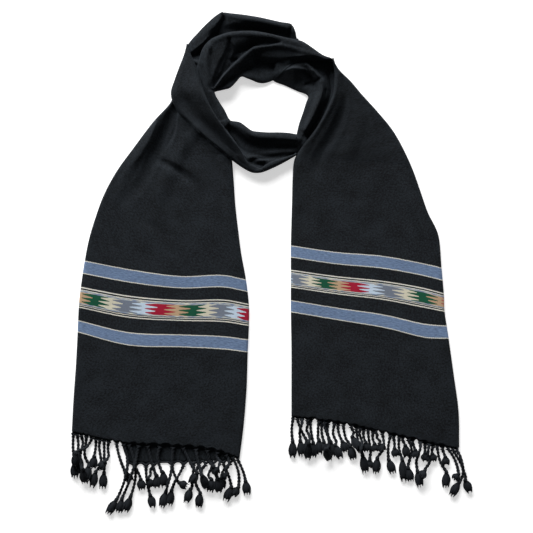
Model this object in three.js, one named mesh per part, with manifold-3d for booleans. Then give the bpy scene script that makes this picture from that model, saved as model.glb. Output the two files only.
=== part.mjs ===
// A black wool stole with a twisted fringe, folded lengthwise and laid flat as it would be worn.
// It winds clockwise and upwards: left end, back outer turn, right turn, front turn, left side,
// back inner turn, right end. Each stretch that shows is one solid, in millimetres, with +X to the
// right, +Y towards the back of the neck and +Z up from the surface that it lies on.
import * as THREE from "three";
import Module from "manifold-3d";

const wasm = await Module();
wasm.setup();

// Driving sizes
const CENTRE = { x: -0.3, y: -0.3 }; // middle of the laid-out scarf in the tables' own coordinates
const GAP = 0.3; // between one piece and the next
const LEAST = 2; // thinnest place of a stretch
const FLAP = 2; // height of the lower layer where it sticks out below the left hem
const SWELL = 0.8; // how much larger a stretch is made all round before it cuts those on it clear
const TAIL = { steps: 2, middle: 8, under: 2, lip: 1.2, groove: 0.9, roll: 5, drop: 0.8 };
const COLLAR = { steps: 1, middle: 6, under: 0, lip: 1.4, groove: 1.5, roll: 10, drop: 5 };
const FLAP_SHAPE = { steps: 1, middle: 4, under: 0, lip: 0.4, groove: 0, roll: 2, drop: 0.3 };
const STRIP = { height: 1.8, steps: 22 }; // the woven edge that a row of tassels hangs on
const CORD = 2; // radius of a twisted strand
const KNOT = 3.8; // radius of the knot that ends it
const HEAD = 5; // radius of the cut tuft below the knot
const FLAT = 0.8; // a strand's height over its width, as it lies

const LOOKS = {
  wool: { color: 0x1c2126, roughness: 0.9 },
  fringe: { color: 0x15181c, roughness: 0.95 },
};

// A row for each section of a stretch: its two edges, a and b, and the height of the cloth there.
// The last three columns bend the section towards the back at 30, 60 and 85 percent of its width.
const SECTION = ["ax", "ay", "bx", "by", "az", "bz", "bend30", "bend60", "bend85"];
const SECTIONS = {
  tail_left: [
    [-146, 346, -112, 336, 12, 12],
    [-160, 309, -99, 295, 13, 12],
    [-171, 275, -83, 252, 11, 12],
    [-204, 237, -73, 217, 9, 10],
    [-235, 196, -68, 179, 7, 8, -2, -2, 0],
    [-264, 156, -65, 142, 6, 7, -3, -3, 0],
    [-286, 115, -62, 98, 5.5, 6, -5, -5, 0],
    [-301, 74, -57, 54, 5, 5.5, -5, -7, 2],
    [-311, 40, -52, 16, 5, 5.5, -6, -7, 2],
    [-318, 4, -44, -28, 5, 5.5, -6, -7, 3],
    [-325, -43, -39, -72, 5, 5, -7, -5, 3],
    [-328, -72, -39, -103, 5, 5, -8, -4, 2],
    [-330, -116, -41, -150, 5, 5, -12, -5, 0],
    [-333, -173, -43, -212, 5, 5, -8, -2, 2],
    [-337, -229, -48, -275, 5, 5, -6, 2, 4],
    [-340, -286, -55, -331, 5, 5, -5, 3, 7],
  ],
  left_flap: [
    [-248, -290, -58, -307, FLAP, FLAP],
    [-248, -320, -56, -327, FLAP, FLAP],
    [-246, -344, -65, -337, FLAP, FLAP],
  ],
  collar_back_outer: [
    [-143, 349, -112, 329, 12, 10],
    [-144, 367, -105, 336, 13, 9],
    [-123, 393, -99, 343, 15, 8],
    [-107, 409, -92, 346, 16, 8],
    [-94, 420, -85, 346, 16, 8],
    [-83, 426, -76, 346, 16, 8],
    [-71, 424, -68, 346, 15, 8],
    [-46, 421, -44, 346, 15, 8],
    [-17, 416, -17, 346, 15, 8],
    [14, 409, 5, 344, 15, 8],
    [33, 405, 17, 341, 15, 8],
    [39, 395, 22, 338, 13, 8],
    [42, 382, 27, 336, 11, 8],
  ],
  collar_right: [
    [42, 378, 5, 333, 11, 7],
    [56, 361, 2, 321, 12, 6],
    [76, 350, 2, 311, 12, 6],
    [97, 343, 22, 302, 12, 6],
    [106, 326, 42, 293, 12, 7],
    [112, 305, 61, 284, 12, 12],
    [112, 283, 57, 270, 12, 15],
    [101, 260, 52, 254, 11, 15],
    [86, 232, 46, 237, 10, 15],
    [69, 208, 43, 225, 9, 14],
    [57, 193, 41, 214, 8, 12],
  ],
  collar_front: [
    [61, 200, 53, 217, 9, 11],
    [49, 190, 41, 219, 9, 12],
    [32, 181, 29, 221, 9, 13],
    [11, 169, 12, 222, 9, 14],
    [-11, 161, -7, 222, 9, 14],
    [-35, 163, -22, 223, 9, 14],
    [-54, 174, -34, 225, 10, 14],
    [-65, 195, -44, 232, 10, 14],
    [-76, 210, -54, 239, 10, 14],
    [-87, 225, -65, 241, 10, 14],
    [-94, 237, -73, 242, 10, 14],
  ],
  collar_back_inner: [
    [-90, 220, -72, 242, 13, 14],
    [-104, 246, -80, 259, 14, 15],
    [-116, 273, -90, 275, 15, 16],
    [-126, 302, -97, 290, 16, 17],
    [-128, 326, -85, 294, 18, 18],
    [-123, 346, -71, 298, 20, 19],
    [-117, 363, -60, 309, 22, 19],
    [-105, 377, -52, 317, 23, 19],
    [-89, 386, -42, 314, 24, 18],
    [-71, 391, -34, 311, 24, 18],
    [-51, 393, -24, 307, 24, 18],
    [-31, 393, -14, 306, 24, 18],
    [-7, 388, 2, 311, 25, 18],
    [14, 383, 16, 322, 25, 19],
    [31, 379, 26, 331, 26, 20],
    [50, 375, 34, 337, 26, 22],
    [66, 365, 48, 342, 27, 24],
    [86, 351, 71, 343, 28, 26],
    [100, 346, 95, 342, 28, 28],
  ],
  collar_left_outer: [
    [-145, 368, -142, 368, 17, 17],
    [-149, 353, -136, 351, 18, 19],
    [-157, 332, -127, 329, 18, 21],
    [-165, 310, -119, 303, 18, 22],
    [-171, 290, -111, 281, 18, 22],
    [-169, 275, -103, 263, 18, 22],
    [-160, 257, -90, 241, 19, 22],
    [-143, 240, -76, 224, 19, 21],
    [-122, 220, -63, 207, 19, 21],
    [-98, 200, -52, 190, 18, 20],
    [-73, 179, -42, 173, 17, 19],
    [-48, 161, -31, 166, 16, 17],
    [-33, 154, -19, 162, 15, 15],
    [-19, 154, -11, 167, 14, 14],
    [2, 162, 0, 173, 14, 14],
    [20, 171, 18, 179, 13, 13],
    [41, 183, 38, 185, 13, 13],
  ],
  tail_right: [
    [101, 345, 104, 336, 30, 29],
    [105, 326, 116, 324, 30, 27],
    [105, 305, 133, 308, 29, 24],
    [103, 286, 153, 285, 28, 20],
    [94, 264, 178, 258, 25, 15],
    [75, 229, 206, 224, 20, 11],
    [49, 195, 228, 184, 15, 9],
    [38, 176, 241, 154, 12, 7, 0, 2, 2],
    [35, 145, 253, 120, 9, 6, 0, 3, 2],
    [34, 108, 265, 86, 7, 5.5, 0, 4, 2],
    [33, 71, 282, 50, 6, 5, 0, 5, 3],
    [32, 30, 288, -8, 5.5, 5, 0, 5, 3],
    [32, -14, 292, -54, 5, 5, 1, 5, 4],
    [32, -38, 293, -79, 5, 5, 1, 4, 2],
    [32, -82, 300, -127, 5, 5, 0, 0, -5],
    [33, -147, 309, -191, 5, 5, 2, 1, -3],
    [33, -207, 317, -252, 5, 5, 3, 2, -2],
    [33, -260, 318, -315, 5, 5, 5, 3, 0],
  ],
};

// A row for each fold: the line that it follows, and its height and half width along that line.
// A height below nothing is a trough.
const FOLD = ["line", "rise", "half"];
const FOLDS = {
  tail_left: [
    [[[-165, 264], [-184, 218], [-204, 173], [-224, 132], [-258, 98]], [-5, -6, 0], [10, 15, 14]],
    [[[-180, 261], [-214, 207], [-248, 149], [-275, 84]], [2, 3.5, 0], [10, 14, 14]],
    [[[-129, 224], [-160, 179], [-190, 115], [-207, 23]], [2, 3.5, 0], [15, 20, 24]],
    [[[-194, 176], [-131, 137], [-116, 84], [-85, -115]], [-1.5, -3.5, 0], [8, 14, 15]],
    [[[-85, 176], [-75, 115], [-68, 40], [-58, -62]], [2, 2.5, 0], [12, 14, 14]],
    [[[-292, 81], [-269, 40], [-252, -1]], [0, -1.6, 0], [8, 10, 10]],
    [[[-231, 81], [-204, 64], [-170, 40]], [0, -1.6, 0], [8, 10, 10]],
  ],
  left_flap: [],
  collar_back_outer: [
    [[[-139, 363], [-112, 390], [-82, 417]], [1, 3, 1], [7, 8, 5]],
    [[[-78, 419], [-27, 411], [32, 399]], [1, 3, 1], [5, 8, 5]],
    [[[-78, 419], [-87, 402], [-100, 383]], [-2, -6, -3], [3, 8, 12]],
    [[[-85, 395], [-34, 399], [27, 387]], [-4, -5, -5], [12, 12, 10]],
  ],
  collar_right: [
    [[[27, 329], [54, 334], [83, 303], [70, 256], [56, 227]], [3, 8, 4], [7, 10, 8]],
    [[[44, 305], [68, 305]], [-2, -3], [14, 10]],
    [[[90, 292], [87, 264], [66, 224]], [-3, -6, -3], [5, 7, 7]],
  ],
  collar_front: [
    [[[-68, 237], [-48, 227], [-26, 215], [7, 213], [46, 210]], [1, 4, 2], [5, 8, 7]],
    [[[-80, 232], [-61, 220], [-42, 203], [-7, 198], [41, 196]], [-2, -6, -3], [7, 10, 7]],
    [[[-34, 184], [-2, 186], [36, 190]], [2, 4, 1], [5, 7, 5]],
    [[[-32, 174], [-14, 166]], [-4, -5], [7, 7]],
  ],
  collar_back_inner: [
    [[[-85, 258], [-99, 278], [-107, 305], [-110, 343], [-105, 366]], [1, 4, 3], [7, 8, 7]],
    [[[-102, 373], [-75, 385], [-34, 387], [14, 378], [58, 365]], [1, 3, 1], [7, 8, 7]],
    [[[-71, 380], [-75, 354], [-87, 326], [-97, 302]], [-3, -8, -5], [3, 10, 8]],
    [[[-95, 298], [-60, 337], [-29, 361], [7, 368], [82, 348]], [3, 6, 1], [7, 10, 5]],
    [[[-68, 343], [-46, 363], [-14, 375], [20, 371]], [-3, -5, 0], [7, 8, 7]],
    [[[-26, 356], [-17, 336], [22, 337], [78, 344]], [-3, -7, -2], [5, 12, 5]],
  ],
  collar_left_outer: [
    [[[-141, 360], [-114, 292], [-90, 249], [-58, 203], [-37, 171]], [1, 3, 1], [3, 7, 5]],
    [[[-156, 322], [-150, 278], [-116, 237], [-68, 190]], [0, -2.5, 0], [10, 14, 10]],
  ],
  tail_right: [
    [[[105, 336], [109, 305], [100, 268], [75, 224], [42, 156]], [0, 3, 0], [4, 7, 7]],
    [[[117, 312], [122, 275], [109, 230], [82, 186], [63, 145]], [-2, -5, 0], [7, 14, 12]],
    [[[143, 271], [146, 237], [126, 183], [105, 122]], [0, 3, 0], [14, 20, 20]],
    [[[54, 135], [53, 82], [58, 23]], [0, -2.2, 0], [8, 10, 8]],
    [[[71, 159], [75, 91], [82, 6]], [0, 1.8, 0], [8, 10, 10]],
    [[[65, -93], [66, -164], [63, -249]], [0, -1.2, -1], [10, 12, 12]],
    [[[211, 162], [238, 99], [269, 23]], [0, 2, 0], [14, 14, 14]],
  ],
};

// A row for each tassel: where it leaves the hem, how far its knot drifts sideways and reaches down,
// the bow of its strand, and the swing and length of the tuft below the knot.
const TASSEL = ["root", "drift", "reach", "bow", "swing", "tuft"];
const TASSELS = {
  fringe_left_lower: [
    [-233, 10, 20, 1, 2, 19],
    [-214, 7, 48, -2, 5, 22],
    [-201, -10, 20, -3, 5, 17],
    [-170, 12, 29, -2, 14, 7],
    [-150, -20, 42, -2, -5, 27],
    [-133, -8, 39, 2, -5, 26],
    [-124, 2, 48, -8, -3, 26],
    [-112, -5, 22, -5, 7, 20],
    [-99, -12, 27, -1, 5, 20],
    [-83, 14, 39, 2, -10, 24],
    [-71, -15, 24, -4, 2, 20],
  ],
  fringe_left_upper: [
    [-337, 2, 48, -2, 0, 27],
    [-331, 0, 37, 2, 2, 34],
    [-324, 3, 53, -5, 3, 29],
    [-315, -5, 48, -1, 5, 27],
    [-306, -24, 26, 5, 0, 24],
    [-299, -3, 29, 1, -4, 22],
    [-292, -7, 54, 0, -7, 27],
    [-285, 0, 54, 0, -3, 27],
    [-277, -7, 34, 0, -12, 12],
    [-264, 15, 49, -2, 10, 17],
    [-252, -12, 94, 11, -15, 24],
    [-243, 3, 88, 10, -10, 26],
    [-226, -29, 90, 4, -5, 24],
    [-211, 14, 49, -1, 0, 22],
    [-190, 3, 42, -5, 3, 27],
    [-168, -12, 75, 3, -8, 27],
    [-151, 22, 41, -1, -10, 22],
    [-129, 10, 42, -1, 10, 24],
    [-110, 10, 27, -2, 8, 14],
    [-92, -7, 41, -2, 7, 24],
    [-78, -2, 27, 6, -7, 14],
    [-67, 10, 51, 5, -12, 14],
    [-59, 14, 37, 2, 3, 24],
  ],
  fringe_right_lower: [
    [65, 5, 36, -1, 0, 26],
    [85, 3, 32, -2, 0, 17],
    [95, 5, 31, -3, 2, 26],
    [112, 7, 27, -2, 8, 19],
    [143, 3, 22, 0, 5, 19],
    [156, 3, 20, -2, 3, 17],
    [172, 2, 19, -2, 2, 14],
    [206, 2, 19, 1, 3, 15],
    [221, 5, 10, 0, 3, 22],
    [238, 5, 14, 0, 2, 14],
    [260, 0, 14, 0, 0, 15],
    [274, -2, 12, -1, 2, 14],
    [289, 5, 14, 0, 2, 15],
  ],
  fringe_right_upper: [
    [36, -1, 39, -2, 0, 29],
    [43, 16, 37, -2, 3, 17],
    [51, -3, 36, 0, 3, 27],
    [60, 3, 37, 0, 1, 26],
    [80, 0, 32, -2, 2, 24],
    [91, 1, 37, -1, 5, 26],
    [106, -1, 36, -2, 12, 24],
    [121, 10, 36, -2, 8, 24],
    [134, 7, 15, 0, 7, 24],
    [150, 1, 39, -2, 8, 37],
    [163, 3, 51, 3, -2, 14],
    [175, 3, 20, -3, 12, 14],
    [187, -8, 42, 6, -3, 27],
    [201, -3, 41, -2, 8, 24],
    [216, 5, 37, -3, 3, 39],
    [231, 0, 48, 2, 5, 24],
    [252, -5, 49, -4, 5, 27],
    [267, -8, 44, 5, -8, 14],
    [280, 16, 44, -3, -1, 27],
    [298, 19, 44, 4, -8, 10],
    [306, 12, 56, 6, -14, 24],
    [313, 12, 51, 4, 12, 22],
  ],
};

// Rows as objects: a number that a row leaves out at its end is nothing.
const named = (columns, rows) =>
  rows.map((row) => Object.fromEntries(columns.map((column, i) => [column, row[i] ?? 0])));

const lerp = THREE.MathUtils.lerp;

// The value at a share along a short list of values that are spaced evenly.
function valueAt(values, share) {
  const place = share * (values.length - 1);
  const i = Math.min(Math.floor(place), values.length - 2);
  return lerp(values[i], values[i + 1], place - i);
}

// How far a section bends towards the back at a share of its width: a smooth line through its bends.
const BEND_PLACES = [0, 0.3, 0.6, 0.85, 1];
function bendAt([bend30, bend60, bend85], share) {
  const bends = [0, bend30, bend60, bend85, 0];
  const last = bends.length - 1;
  const place = THREE.MathUtils.clamp(share, 0, 1);
  const i = Math.max(BEND_PLACES.findIndex((end) => place <= end), 1) - 1;
  const slope = (k) => {
    const [before, after] = [Math.max(k - 1, 0), Math.min(k + 1, last)];
    return (bends[after] - bends[before]) / (BEND_PLACES[after] - BEND_PLACES[before]);
  };
  const span = BEND_PLACES[i + 1] - BEND_PLACES[i];
  const u = (place - BEND_PLACES[i]) / span;
  const [square, cube] = [u * u, u * u * u];
  return (
    (2 * cube - 3 * square + 1) * bends[i] +
    (3 * square - 2 * cube) * bends[i + 1] +
    (cube - 2 * square + u) * span * slope(i) +
    (cube - square) * span * slope(i + 1)
  );
}

// A smooth curve through one vector for each row.
const curveThrough = (rows, vector) =>
  new THREE.CatmullRomCurve3(rows.map(vector), false, "centripetal");

// Each fold's line as short straight steps, worked out once.
const FOLD_STEPS = 14;
const foldPaths = Object.fromEntries(
  Object.entries(FOLDS).map(([name, folds]) => [
    name,
    named(FOLD, folds).map(({ line, rise, half }) => {
      const curve = curveThrough(line, ([x, y]) => new THREE.Vector3(x, y, 0));
      return { rise, half, path: curve.getPoints(FOLD_STEPS) };
    }),
  ]),
);

// The height that a stretch's folds add at a point of its plan.
function foldHeight(name, x, y) {
  let height = 0;
  for (const { rise, half, path } of foldPaths[name]) {
    let nearest = Infinity;
    let share = 0;
    for (let i = 0; i + 1 < path.length; i++) {
      const { x: px, y: py } = path[i];
      const dx = path[i + 1].x - px;
      const dy = path[i + 1].y - py;
      const along = THREE.MathUtils.clamp(((x - px) * dx + (y - py) * dy) / (dx * dx + dy * dy), 0, 1);
      const distance = Math.hypot(px + along * dx - x, py + along * dy - y);
      if (distance < nearest) {
        nearest = distance;
        share = (i + along) / (path.length - 1);
      }
    }
    const reach = nearest / valueAt(half, share);
    if (reach < 1) height += valueAt(rise, share) * (1 - reach ** 2) ** 2;
  }
  return height;
}

// A solid from its points and triangles, turned so that its faces point out.
function solidFrom(points, triangles) {
  const build = (faces) =>
    new wasm.Manifold(
      new wasm.Mesh({
        numProp: 3,
        vertProperties: new Float32Array(points.flat()),
        triVerts: new Uint32Array(faces.flat()),
      }),
    );
  const solid = build(triangles);
  return solid.volume() > 0 ? solid : build(triangles.map(([a, b, c]) => [a, c, b]));
}

// A closed solid through rings of the same number of points, with a flat or curved cap at each end.
function solidThrough(rings, outline) {
  const count = outline.length;
  const triangles = [];
  for (let i = 0; i + 1 < rings.length; i++) {
    for (let j = 0; j < count; j++) {
      const next = (j + 1) % count;
      const [a, b] = [i * count + j, i * count + next];
      triangles.push([a, b, b + count], [a, b + count, a + count]);
    }
  }
  const last = (rings.length - 1) * count;
  for (const [a, b, c] of THREE.ShapeUtils.triangulateShape(outline, [])) {
    const [p, q, r] = [outline[a], outline[b], outline[c]];
    const turn = (q.x - p.x) * (r.y - p.y) - (q.y - p.y) * (r.x - p.x);
    const [first, second] = turn * THREE.ShapeUtils.area(outline) > 0 ? [b, c] : [c, b];
    triangles.push([a, second, first], [last + a, last + first, last + second]);
  }
  return solidFrom(rings.flat(), triangles);
}

// The side of a section from the surface up: share of the height, of the lip and of the groove.
// The groove between two rounded edges is where the layers of folded cloth part.
const SIDE = [
  { up: 0, lip: 1, groove: 0 },
  { up: 0.24, lip: 0, groove: 0 },
  { up: 0.48, lip: 0, groove: 1 },
  { up: 0.72, lip: 0, groove: 0 },
];

// Places across a rounded edge, as shares of its width, and the most of a section that it may take.
const ROLL_PLACES = [0.02, 0.35, 1];
const WIDEST_ROLL = 0.45;
const WIDEST_LIP = 0.3;
const CUT_BELOW = 1; // how far a cutter reaches under the surface

// A stretch of folded cloth through its table of sections. The swell makes it larger all round.
function stretch(name, { steps, middle, under, lip, groove, roll, drop }, swell = 0) {
  const rows = named(SECTION, SECTIONS[name]);
  const edgeA = curveThrough(rows, (row) => new THREE.Vector3(row.ax, row.ay, row.az));
  const edgeB = curveThrough(rows, (row) => new THREE.Vector3(row.bx, row.by, row.bz));
  const bends = curveThrough(rows, (row) => new THREE.Vector3(row.bend30, row.bend60, row.bend85));
  const count = (rows.length - 1) * steps;
  const floor = swell ? -CUT_BELOW : 0;

  const ringAt = (i) => {
    const t = i / count;
    const [a, b] = [edgeA.getPoint(t), edgeB.getPoint(t)];
    const width = Math.hypot(b.x - a.x, b.y - a.y);
    const across = { x: (b.x - a.x) / width, y: (b.y - a.y) / width };
    const bend = bends.getPoint(t).toArray();
    // The first and last sections move outwards, square to themselves, when the stretch swells.
    const ahead = edgeA.getTangent(t).add(edgeB.getTangent(t));
    const turn = Math.sign(across.x * ahead.y - across.y * ahead.x);
    const outwards = i === 0 ? -swell * turn : i === count ? swell * turn : 0;
    const shift = { x: -across.y * outwards, y: across.x * outwards };
    // A point at a distance from edge a and a height above the surface, with the section's bend.
    const at = (distance, z) => {
      const y = a.y + across.y * distance + shift.y + bendAt(bend, distance / width);
      return [a.x + across.x * distance + shift.x, y, z];
    };
    const round = Math.min(roll, WIDEST_ROLL * width);
    const topAt = (distance) => {
      const [x, y] = at(distance, 0);
      const inside = Math.min(distance, width - distance) / round;
      const fall = inside < 1 ? drop * (1 - Math.sqrt(1 - (1 - inside) ** 2)) : 0;
      const level = lerp(a.z, b.z, distance / width) + foldHeight(name, x, y) - fall;
      return Math.max(level, LEAST) + swell;
    };
    const rolled = ROLL_PLACES.map((share) => share * round);
    const inner = width - 2 * round;
    const between = Array.from({ length: middle - 1 }, (_, k) => round + (inner * (k + 1)) / middle);
    const places = [...rolled, ...between, ...rolled.map((distance) => width - distance).reverse()];
    const spread = (distance) => distance + (distance < width / 2 ? -swell : swell);
    const top = places.map((distance) => [spread(distance), topAt(distance)]);
    // A bent section has places on its underside too, so that its hem stands upright.
    const below = under ? places.slice(under, -under).filter((_, k) => k % under === 0) : [];
    const bottom = below.reverse().map((distance) => [distance, floor]);
    const side = (height, sign, start) =>
      SIDE.map((point) => {
        const inset = Math.min(point.lip * lip + point.groove * groove, WIDEST_LIP * width);
        return [start + sign * (inset - swell), point.up ? point.up * height : floor];
      });
    const outline = [
      ...side(top[0][1], 1, 0),
      ...top,
      ...side(top[top.length - 1][1], -1, width).reverse(),
      ...bottom,
    ];
    return {
      outline: outline.map(([distance, z]) => new THREE.Vector2(distance, z)),
      ring: outline.map(([distance, z]) => at(distance, z)),
    };
  };
  const rings = Array.from({ length: count + 1 }, (_, i) => ringAt(i));
  return solidThrough(rings.map(({ ring }) => ring), rings[0].outline);
}

// Cuts a tail square along its bent hem.
const TRIM = 12;
function trimHem(name, solid) {
  const [{ ax, bx }] = named(SECTION, SECTIONS[name].slice(-1));
  const span = { from: ax - TRIM, to: bx + TRIM };
  return solid.subtract(barAlong(name, span, 0, TRIM, -CUT_BELOW, TRIM));
}

const largestBody = (solid) => solid.decompose().sort((a, b) => b.volume() - a.volume())[0];

// A bar along a hem, between two distances outside it and two heights.
function barAlong(hem, { from, to }, near, far, low, high) {
  const rings = Array.from({ length: STRIP.steps + 1 }, (_, i) => {
    const x = lerp(from, to, i / STRIP.steps);
    const y = hemAt(hem, x);
    return [[x, y - near, low], [x, y - near, high], [x, y - far, high], [x, y - far, low]];
  });
  const outline = [[0, 0], [0, 1], [-1, 1], [-1, 0]].map(([x, y]) => new THREE.Vector2(x, y));
  return solidThrough(rings, outline);
}

// The strip that a row of tassels is fused to.
const stripSolid = (fringe) =>
  barAlong(fringe.hem, fringe, GAP, GAP + fringe.width, fringe.base, fringe.base + STRIP.height);

// The stretches in the order that they are laid, each cut clear of those under it.
function layStretches() {
  const laid = {};
  const below = [];
  const order = [
    ["tail_left", TAIL],
    ["collar_back_outer", COLLAR],
    ["collar_front", { ...COLLAR, steps: 2 }],
    ["collar_right", { ...COLLAR, steps: 2 }],
    ["collar_back_inner", COLLAR],
    ["collar_left_outer", COLLAR],
    ["tail_right", TAIL],
  ];
  for (const [name, shape] of order) {
    let solid = stretch(name, shape);
    if (name.startsWith("tail")) solid = trimHem(name, solid);
    if (name === "tail_left") solid = solid.add(stretch("left_flap", FLAP_SHAPE));
    for (const cutter of below) solid = solid.subtract(cutter);
    laid[name] = largestBody(solid);
    below.push(stretch(name, shape, SWELL), laid[name]);
  }
  return laid;
}

// A hem's height in the plan at a place across it, with its bend.
function hemAt(name, x) {
  const [row] = named(SECTION, SECTIONS[name].slice(-1));
  const share = (x - row.ax) / (row.bx - row.ax);
  return lerp(row.ay, row.by, share) + bendAt([row.bend30, row.bend60, row.bend85], share);
}

// A row for each line of tassels: the hem that it hangs from, the stretch of it that it covers, the
// height and width of its strip, and the hem of the layer that its strands lie on near the strip.
const FRINGE = ["name", "hem", "from", "to", "base", "width", "under"];
const FRINGES = [
  ["fringe_left_lower", "left_flap", -245, -66, 0.2, 3],
  ["fringe_left_upper", "tail_left", -339, -56, 2.6, 3, "left_flap"],
  ["fringe_right_lower", "tail_right", 34, 317, 0.2, 5],
  ["fringe_right_upper", "tail_right", 34, 317, 2.6, 3, "tail_right"],
];

// The top of what a strand lies on: the lower layer or its strip near the hem, or nothing.
const PAST_HEM = 18;
function groundAt(under, x, y) {
  const [{ ax, bx }] = named(SECTION, SECTIONS[under].slice(-1));
  const within = x > ax - PAST_HEM && x < bx + PAST_HEM && y > hemAt(under, x) - PAST_HEM;
  return within ? FLAP + GAP : 0;
}

// A strand's stations: share of the way from the root to the knot, or beyond it, and radius.
const STATIONS = [
  { share: 0, radius: 0.75 * CORD },
  { share: 0.22, radius: CORD },
  { share: 0.45, radius: CORD },
  { share: 0.68, radius: CORD },
  { share: 0.88, radius: CORD },
  { share: 1, radius: KNOT },
  { share: 1.25, radius: 0.6 * KNOT },
  { share: 1.65, radius: HEAD },
  { share: 2, radius: 0.55 * HEAD },
];

// The middle of a strand in the plan, as points with a radius and a lowest height.
const ROOTED = 1; // how far a strand starts inside its strip
function strandPath(row, fringe) {
  const strip = hemAt(fringe.hem, row.root) - GAP - fringe.width;
  const start = new THREE.Vector2(row.root, strip + ROOTED);
  const knot = start.clone().add(new THREE.Vector2(row.drift, -row.reach));
  const tip = knot.clone().add(new THREE.Vector2(row.swing, -row.tuft));
  return STATIONS.map(({ share, radius }, i) => {
    const beyond = Math.max(share - 1, 0);
    const point = start.clone().lerp(knot, Math.min(share, 1)).lerp(tip, beyond);
    point.x += row.bow * Math.sin(Math.PI * Math.min(share, 1));
    const rise = fringe.base + 0.5 * STRIP.height;
    const ground = fringe.under ? groundAt(fringe.under, point.x, point.y) : 0;
    const low = ground + GAP + FLAT * radius;
    return { x: point.x, y: point.y, z: i === 0 ? Math.max(rise, low) : low, radius };
  });
}

// How near two straight steps of the plan come, and where along each.
const PARALLEL = 1e-6; // below this the steps count as parallel
function nearestInPlan(p, q, r, s) {
  const d1 = { x: q.x - p.x, y: q.y - p.y };
  const d2 = { x: s.x - r.x, y: s.y - r.y };
  const w = { x: p.x - r.x, y: p.y - r.y };
  const a = d1.x ** 2 + d1.y ** 2;
  const e = d2.x ** 2 + d2.y ** 2;
  const b = d1.x * d2.x + d1.y * d2.y;
  const c = d1.x * w.x + d1.y * w.y;
  const f = d2.x * w.x + d2.y * w.y;
  const clamp = (value) => THREE.MathUtils.clamp(value, 0, 1);
  const flat = a * e - b * b;
  let u = flat > PARALLEL ? clamp((b * f - c * e) / flat) : 0;
  const v = clamp((b * u + f) / e);
  u = clamp((b * v - c) / a);
  const away = { x: w.x + u * d1.x - v * d2.x, y: w.y + u * d1.y - v * d2.y };
  return { u, v, away, distance: Math.hypot(away.x, away.y) };
}

// Makes room for a strand among those that are laid already: one that lies nearly clear of another is
// moved aside, and one that crosses it is lifted over it.
const PASSES = 10;
const ASIDE = 0.45; // share of the room that a strand has before it is moved rather than lifted
const FIRST = 0.3; // share of the first step that stays at the root
const CLEAR = 3 * GAP; // between two strands
const FAR = 12 * HEAD; // strands farther apart than this aren't compared
function makeRoom(path, laid) {
  const checkStep = (other, i, j) => {
    const [p, q, r, s] = [path[i], path[i + 1], other[j], other[j + 1]];
    if (Math.abs(p.x - r.x) + Math.abs(p.y - r.y) > FAR) return;
    const { u, v, distance, away } = nearestInPlan(p, q, r, s);
    const room = lerp(p.radius, q.radius, u) + lerp(r.radius, s.radius, v) + CLEAR;
    const needed = lerp(r.z, s.z, v) + FLAT * Math.sqrt(Math.max(room ** 2 - distance ** 2, 0));
    const short = needed - lerp(p.z, q.z, u);
    if (distance >= room || short <= 0 || (i === 0 && u < FIRST)) return;
    const moved = i > 0 ? [p, q] : [q];
    for (const point of moved) {
      if (distance > ASIDE * room) {
        point.x += (away.x * (room - distance)) / distance;
        point.y += (away.y * (room - distance)) / distance;
      } else point.z += short;
    }
  };
  for (let pass = 0; pass < PASSES; pass++)
    for (const other of laid)
      for (let i = 0; i + 1 < path.length; i++)
        for (let j = 0; j + 1 < other.length; j++) checkStep(other, i, j);
  return path;
}

// A strand of four sides with its knot and tuft.
function strandSolid(path) {
  const rings = path.map(({ x, y, z, radius }, i) => {
    const before = path[Math.max(i - 1, 0)];
    const after = path[Math.min(i + 1, path.length - 1)];
    const length = Math.hypot(after.x - before.x, after.y - before.y);
    const side = { x: -(after.y - before.y) / length, y: (after.x - before.x) / length };
    return [
      [x + side.x * radius, y + side.y * radius, z],
      [x, y, z + FLAT * radius],
      [x - side.x * radius, y - side.y * radius, z],
      [x, y, z - FLAT * radius],
    ];
  });
  const outline = [[1, 0], [0, 1], [-1, 0], [0, -1]].map(([x, y]) => new THREE.Vector2(x, y));
  return solidThrough(rings, outline);
}

// The fringes, lowest first. A strand that still touches one laid before it is lifted a little more.
const LIFT = 0.5;
const MOST_LIFTS = 24;
function layFringes() {
  const paths = [];
  const solids = [];
  return Object.fromEntries(
    named(FRINGE, FRINGES).map((fringe) => {
      const strands = named(TASSEL, TASSELS[fringe.name]).map((row) => {
        const path = makeRoom(strandPath(row, fringe), paths);
        let solid = strandSolid(path);
        const touches = () => solids.some((other) => solid.intersect(other).volume() > 0);
        for (let lifts = 0; lifts < MOST_LIFTS && touches(); lifts++) {
          for (const point of path.slice(1)) point.z += LIFT;
          solid = strandSolid(path);
        }
        paths.push(path);
        solids.push(solid);
        return solid;
      });
      return [fringe.name, wasm.Manifold.union([stripSolid(fringe), ...strands])];
    }),
  );
}

function meshOf(name, solid, material) {
  const { numProp, vertProperties, triVerts } = solid.getMesh();
  const geometry = new THREE.BufferGeometry();
  geometry.setAttribute("position", new THREE.BufferAttribute(vertProperties, numProp));
  geometry.setIndex(new THREE.BufferAttribute(triVerts, 1));
  geometry.computeVertexNormals();
  const mesh = new THREE.Mesh(geometry, material);
  mesh.name = name;
  return mesh;
}

const clothMaterial = ({ color, roughness }) =>
  new THREE.MeshStandardMaterial({ color, roughness, metalness: 0 });

const scarf = new THREE.Group();
for (const [solids, look] of [
  [layStretches(), LOOKS.wool],
  [layFringes(), LOOKS.fringe],
]) {
  for (const [name, solid] of Object.entries(solids)) scarf.add(meshOf(name, solid, clothMaterial(look)));
}
scarf.position.set(-CENTRE.x, -CENTRE.y, 0);

export default scarf;
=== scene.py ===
import math
import random

import bmesh
import bpy
import numpy as np
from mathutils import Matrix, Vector, noise
from mathutils.bvhtree import BVHTree


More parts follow.
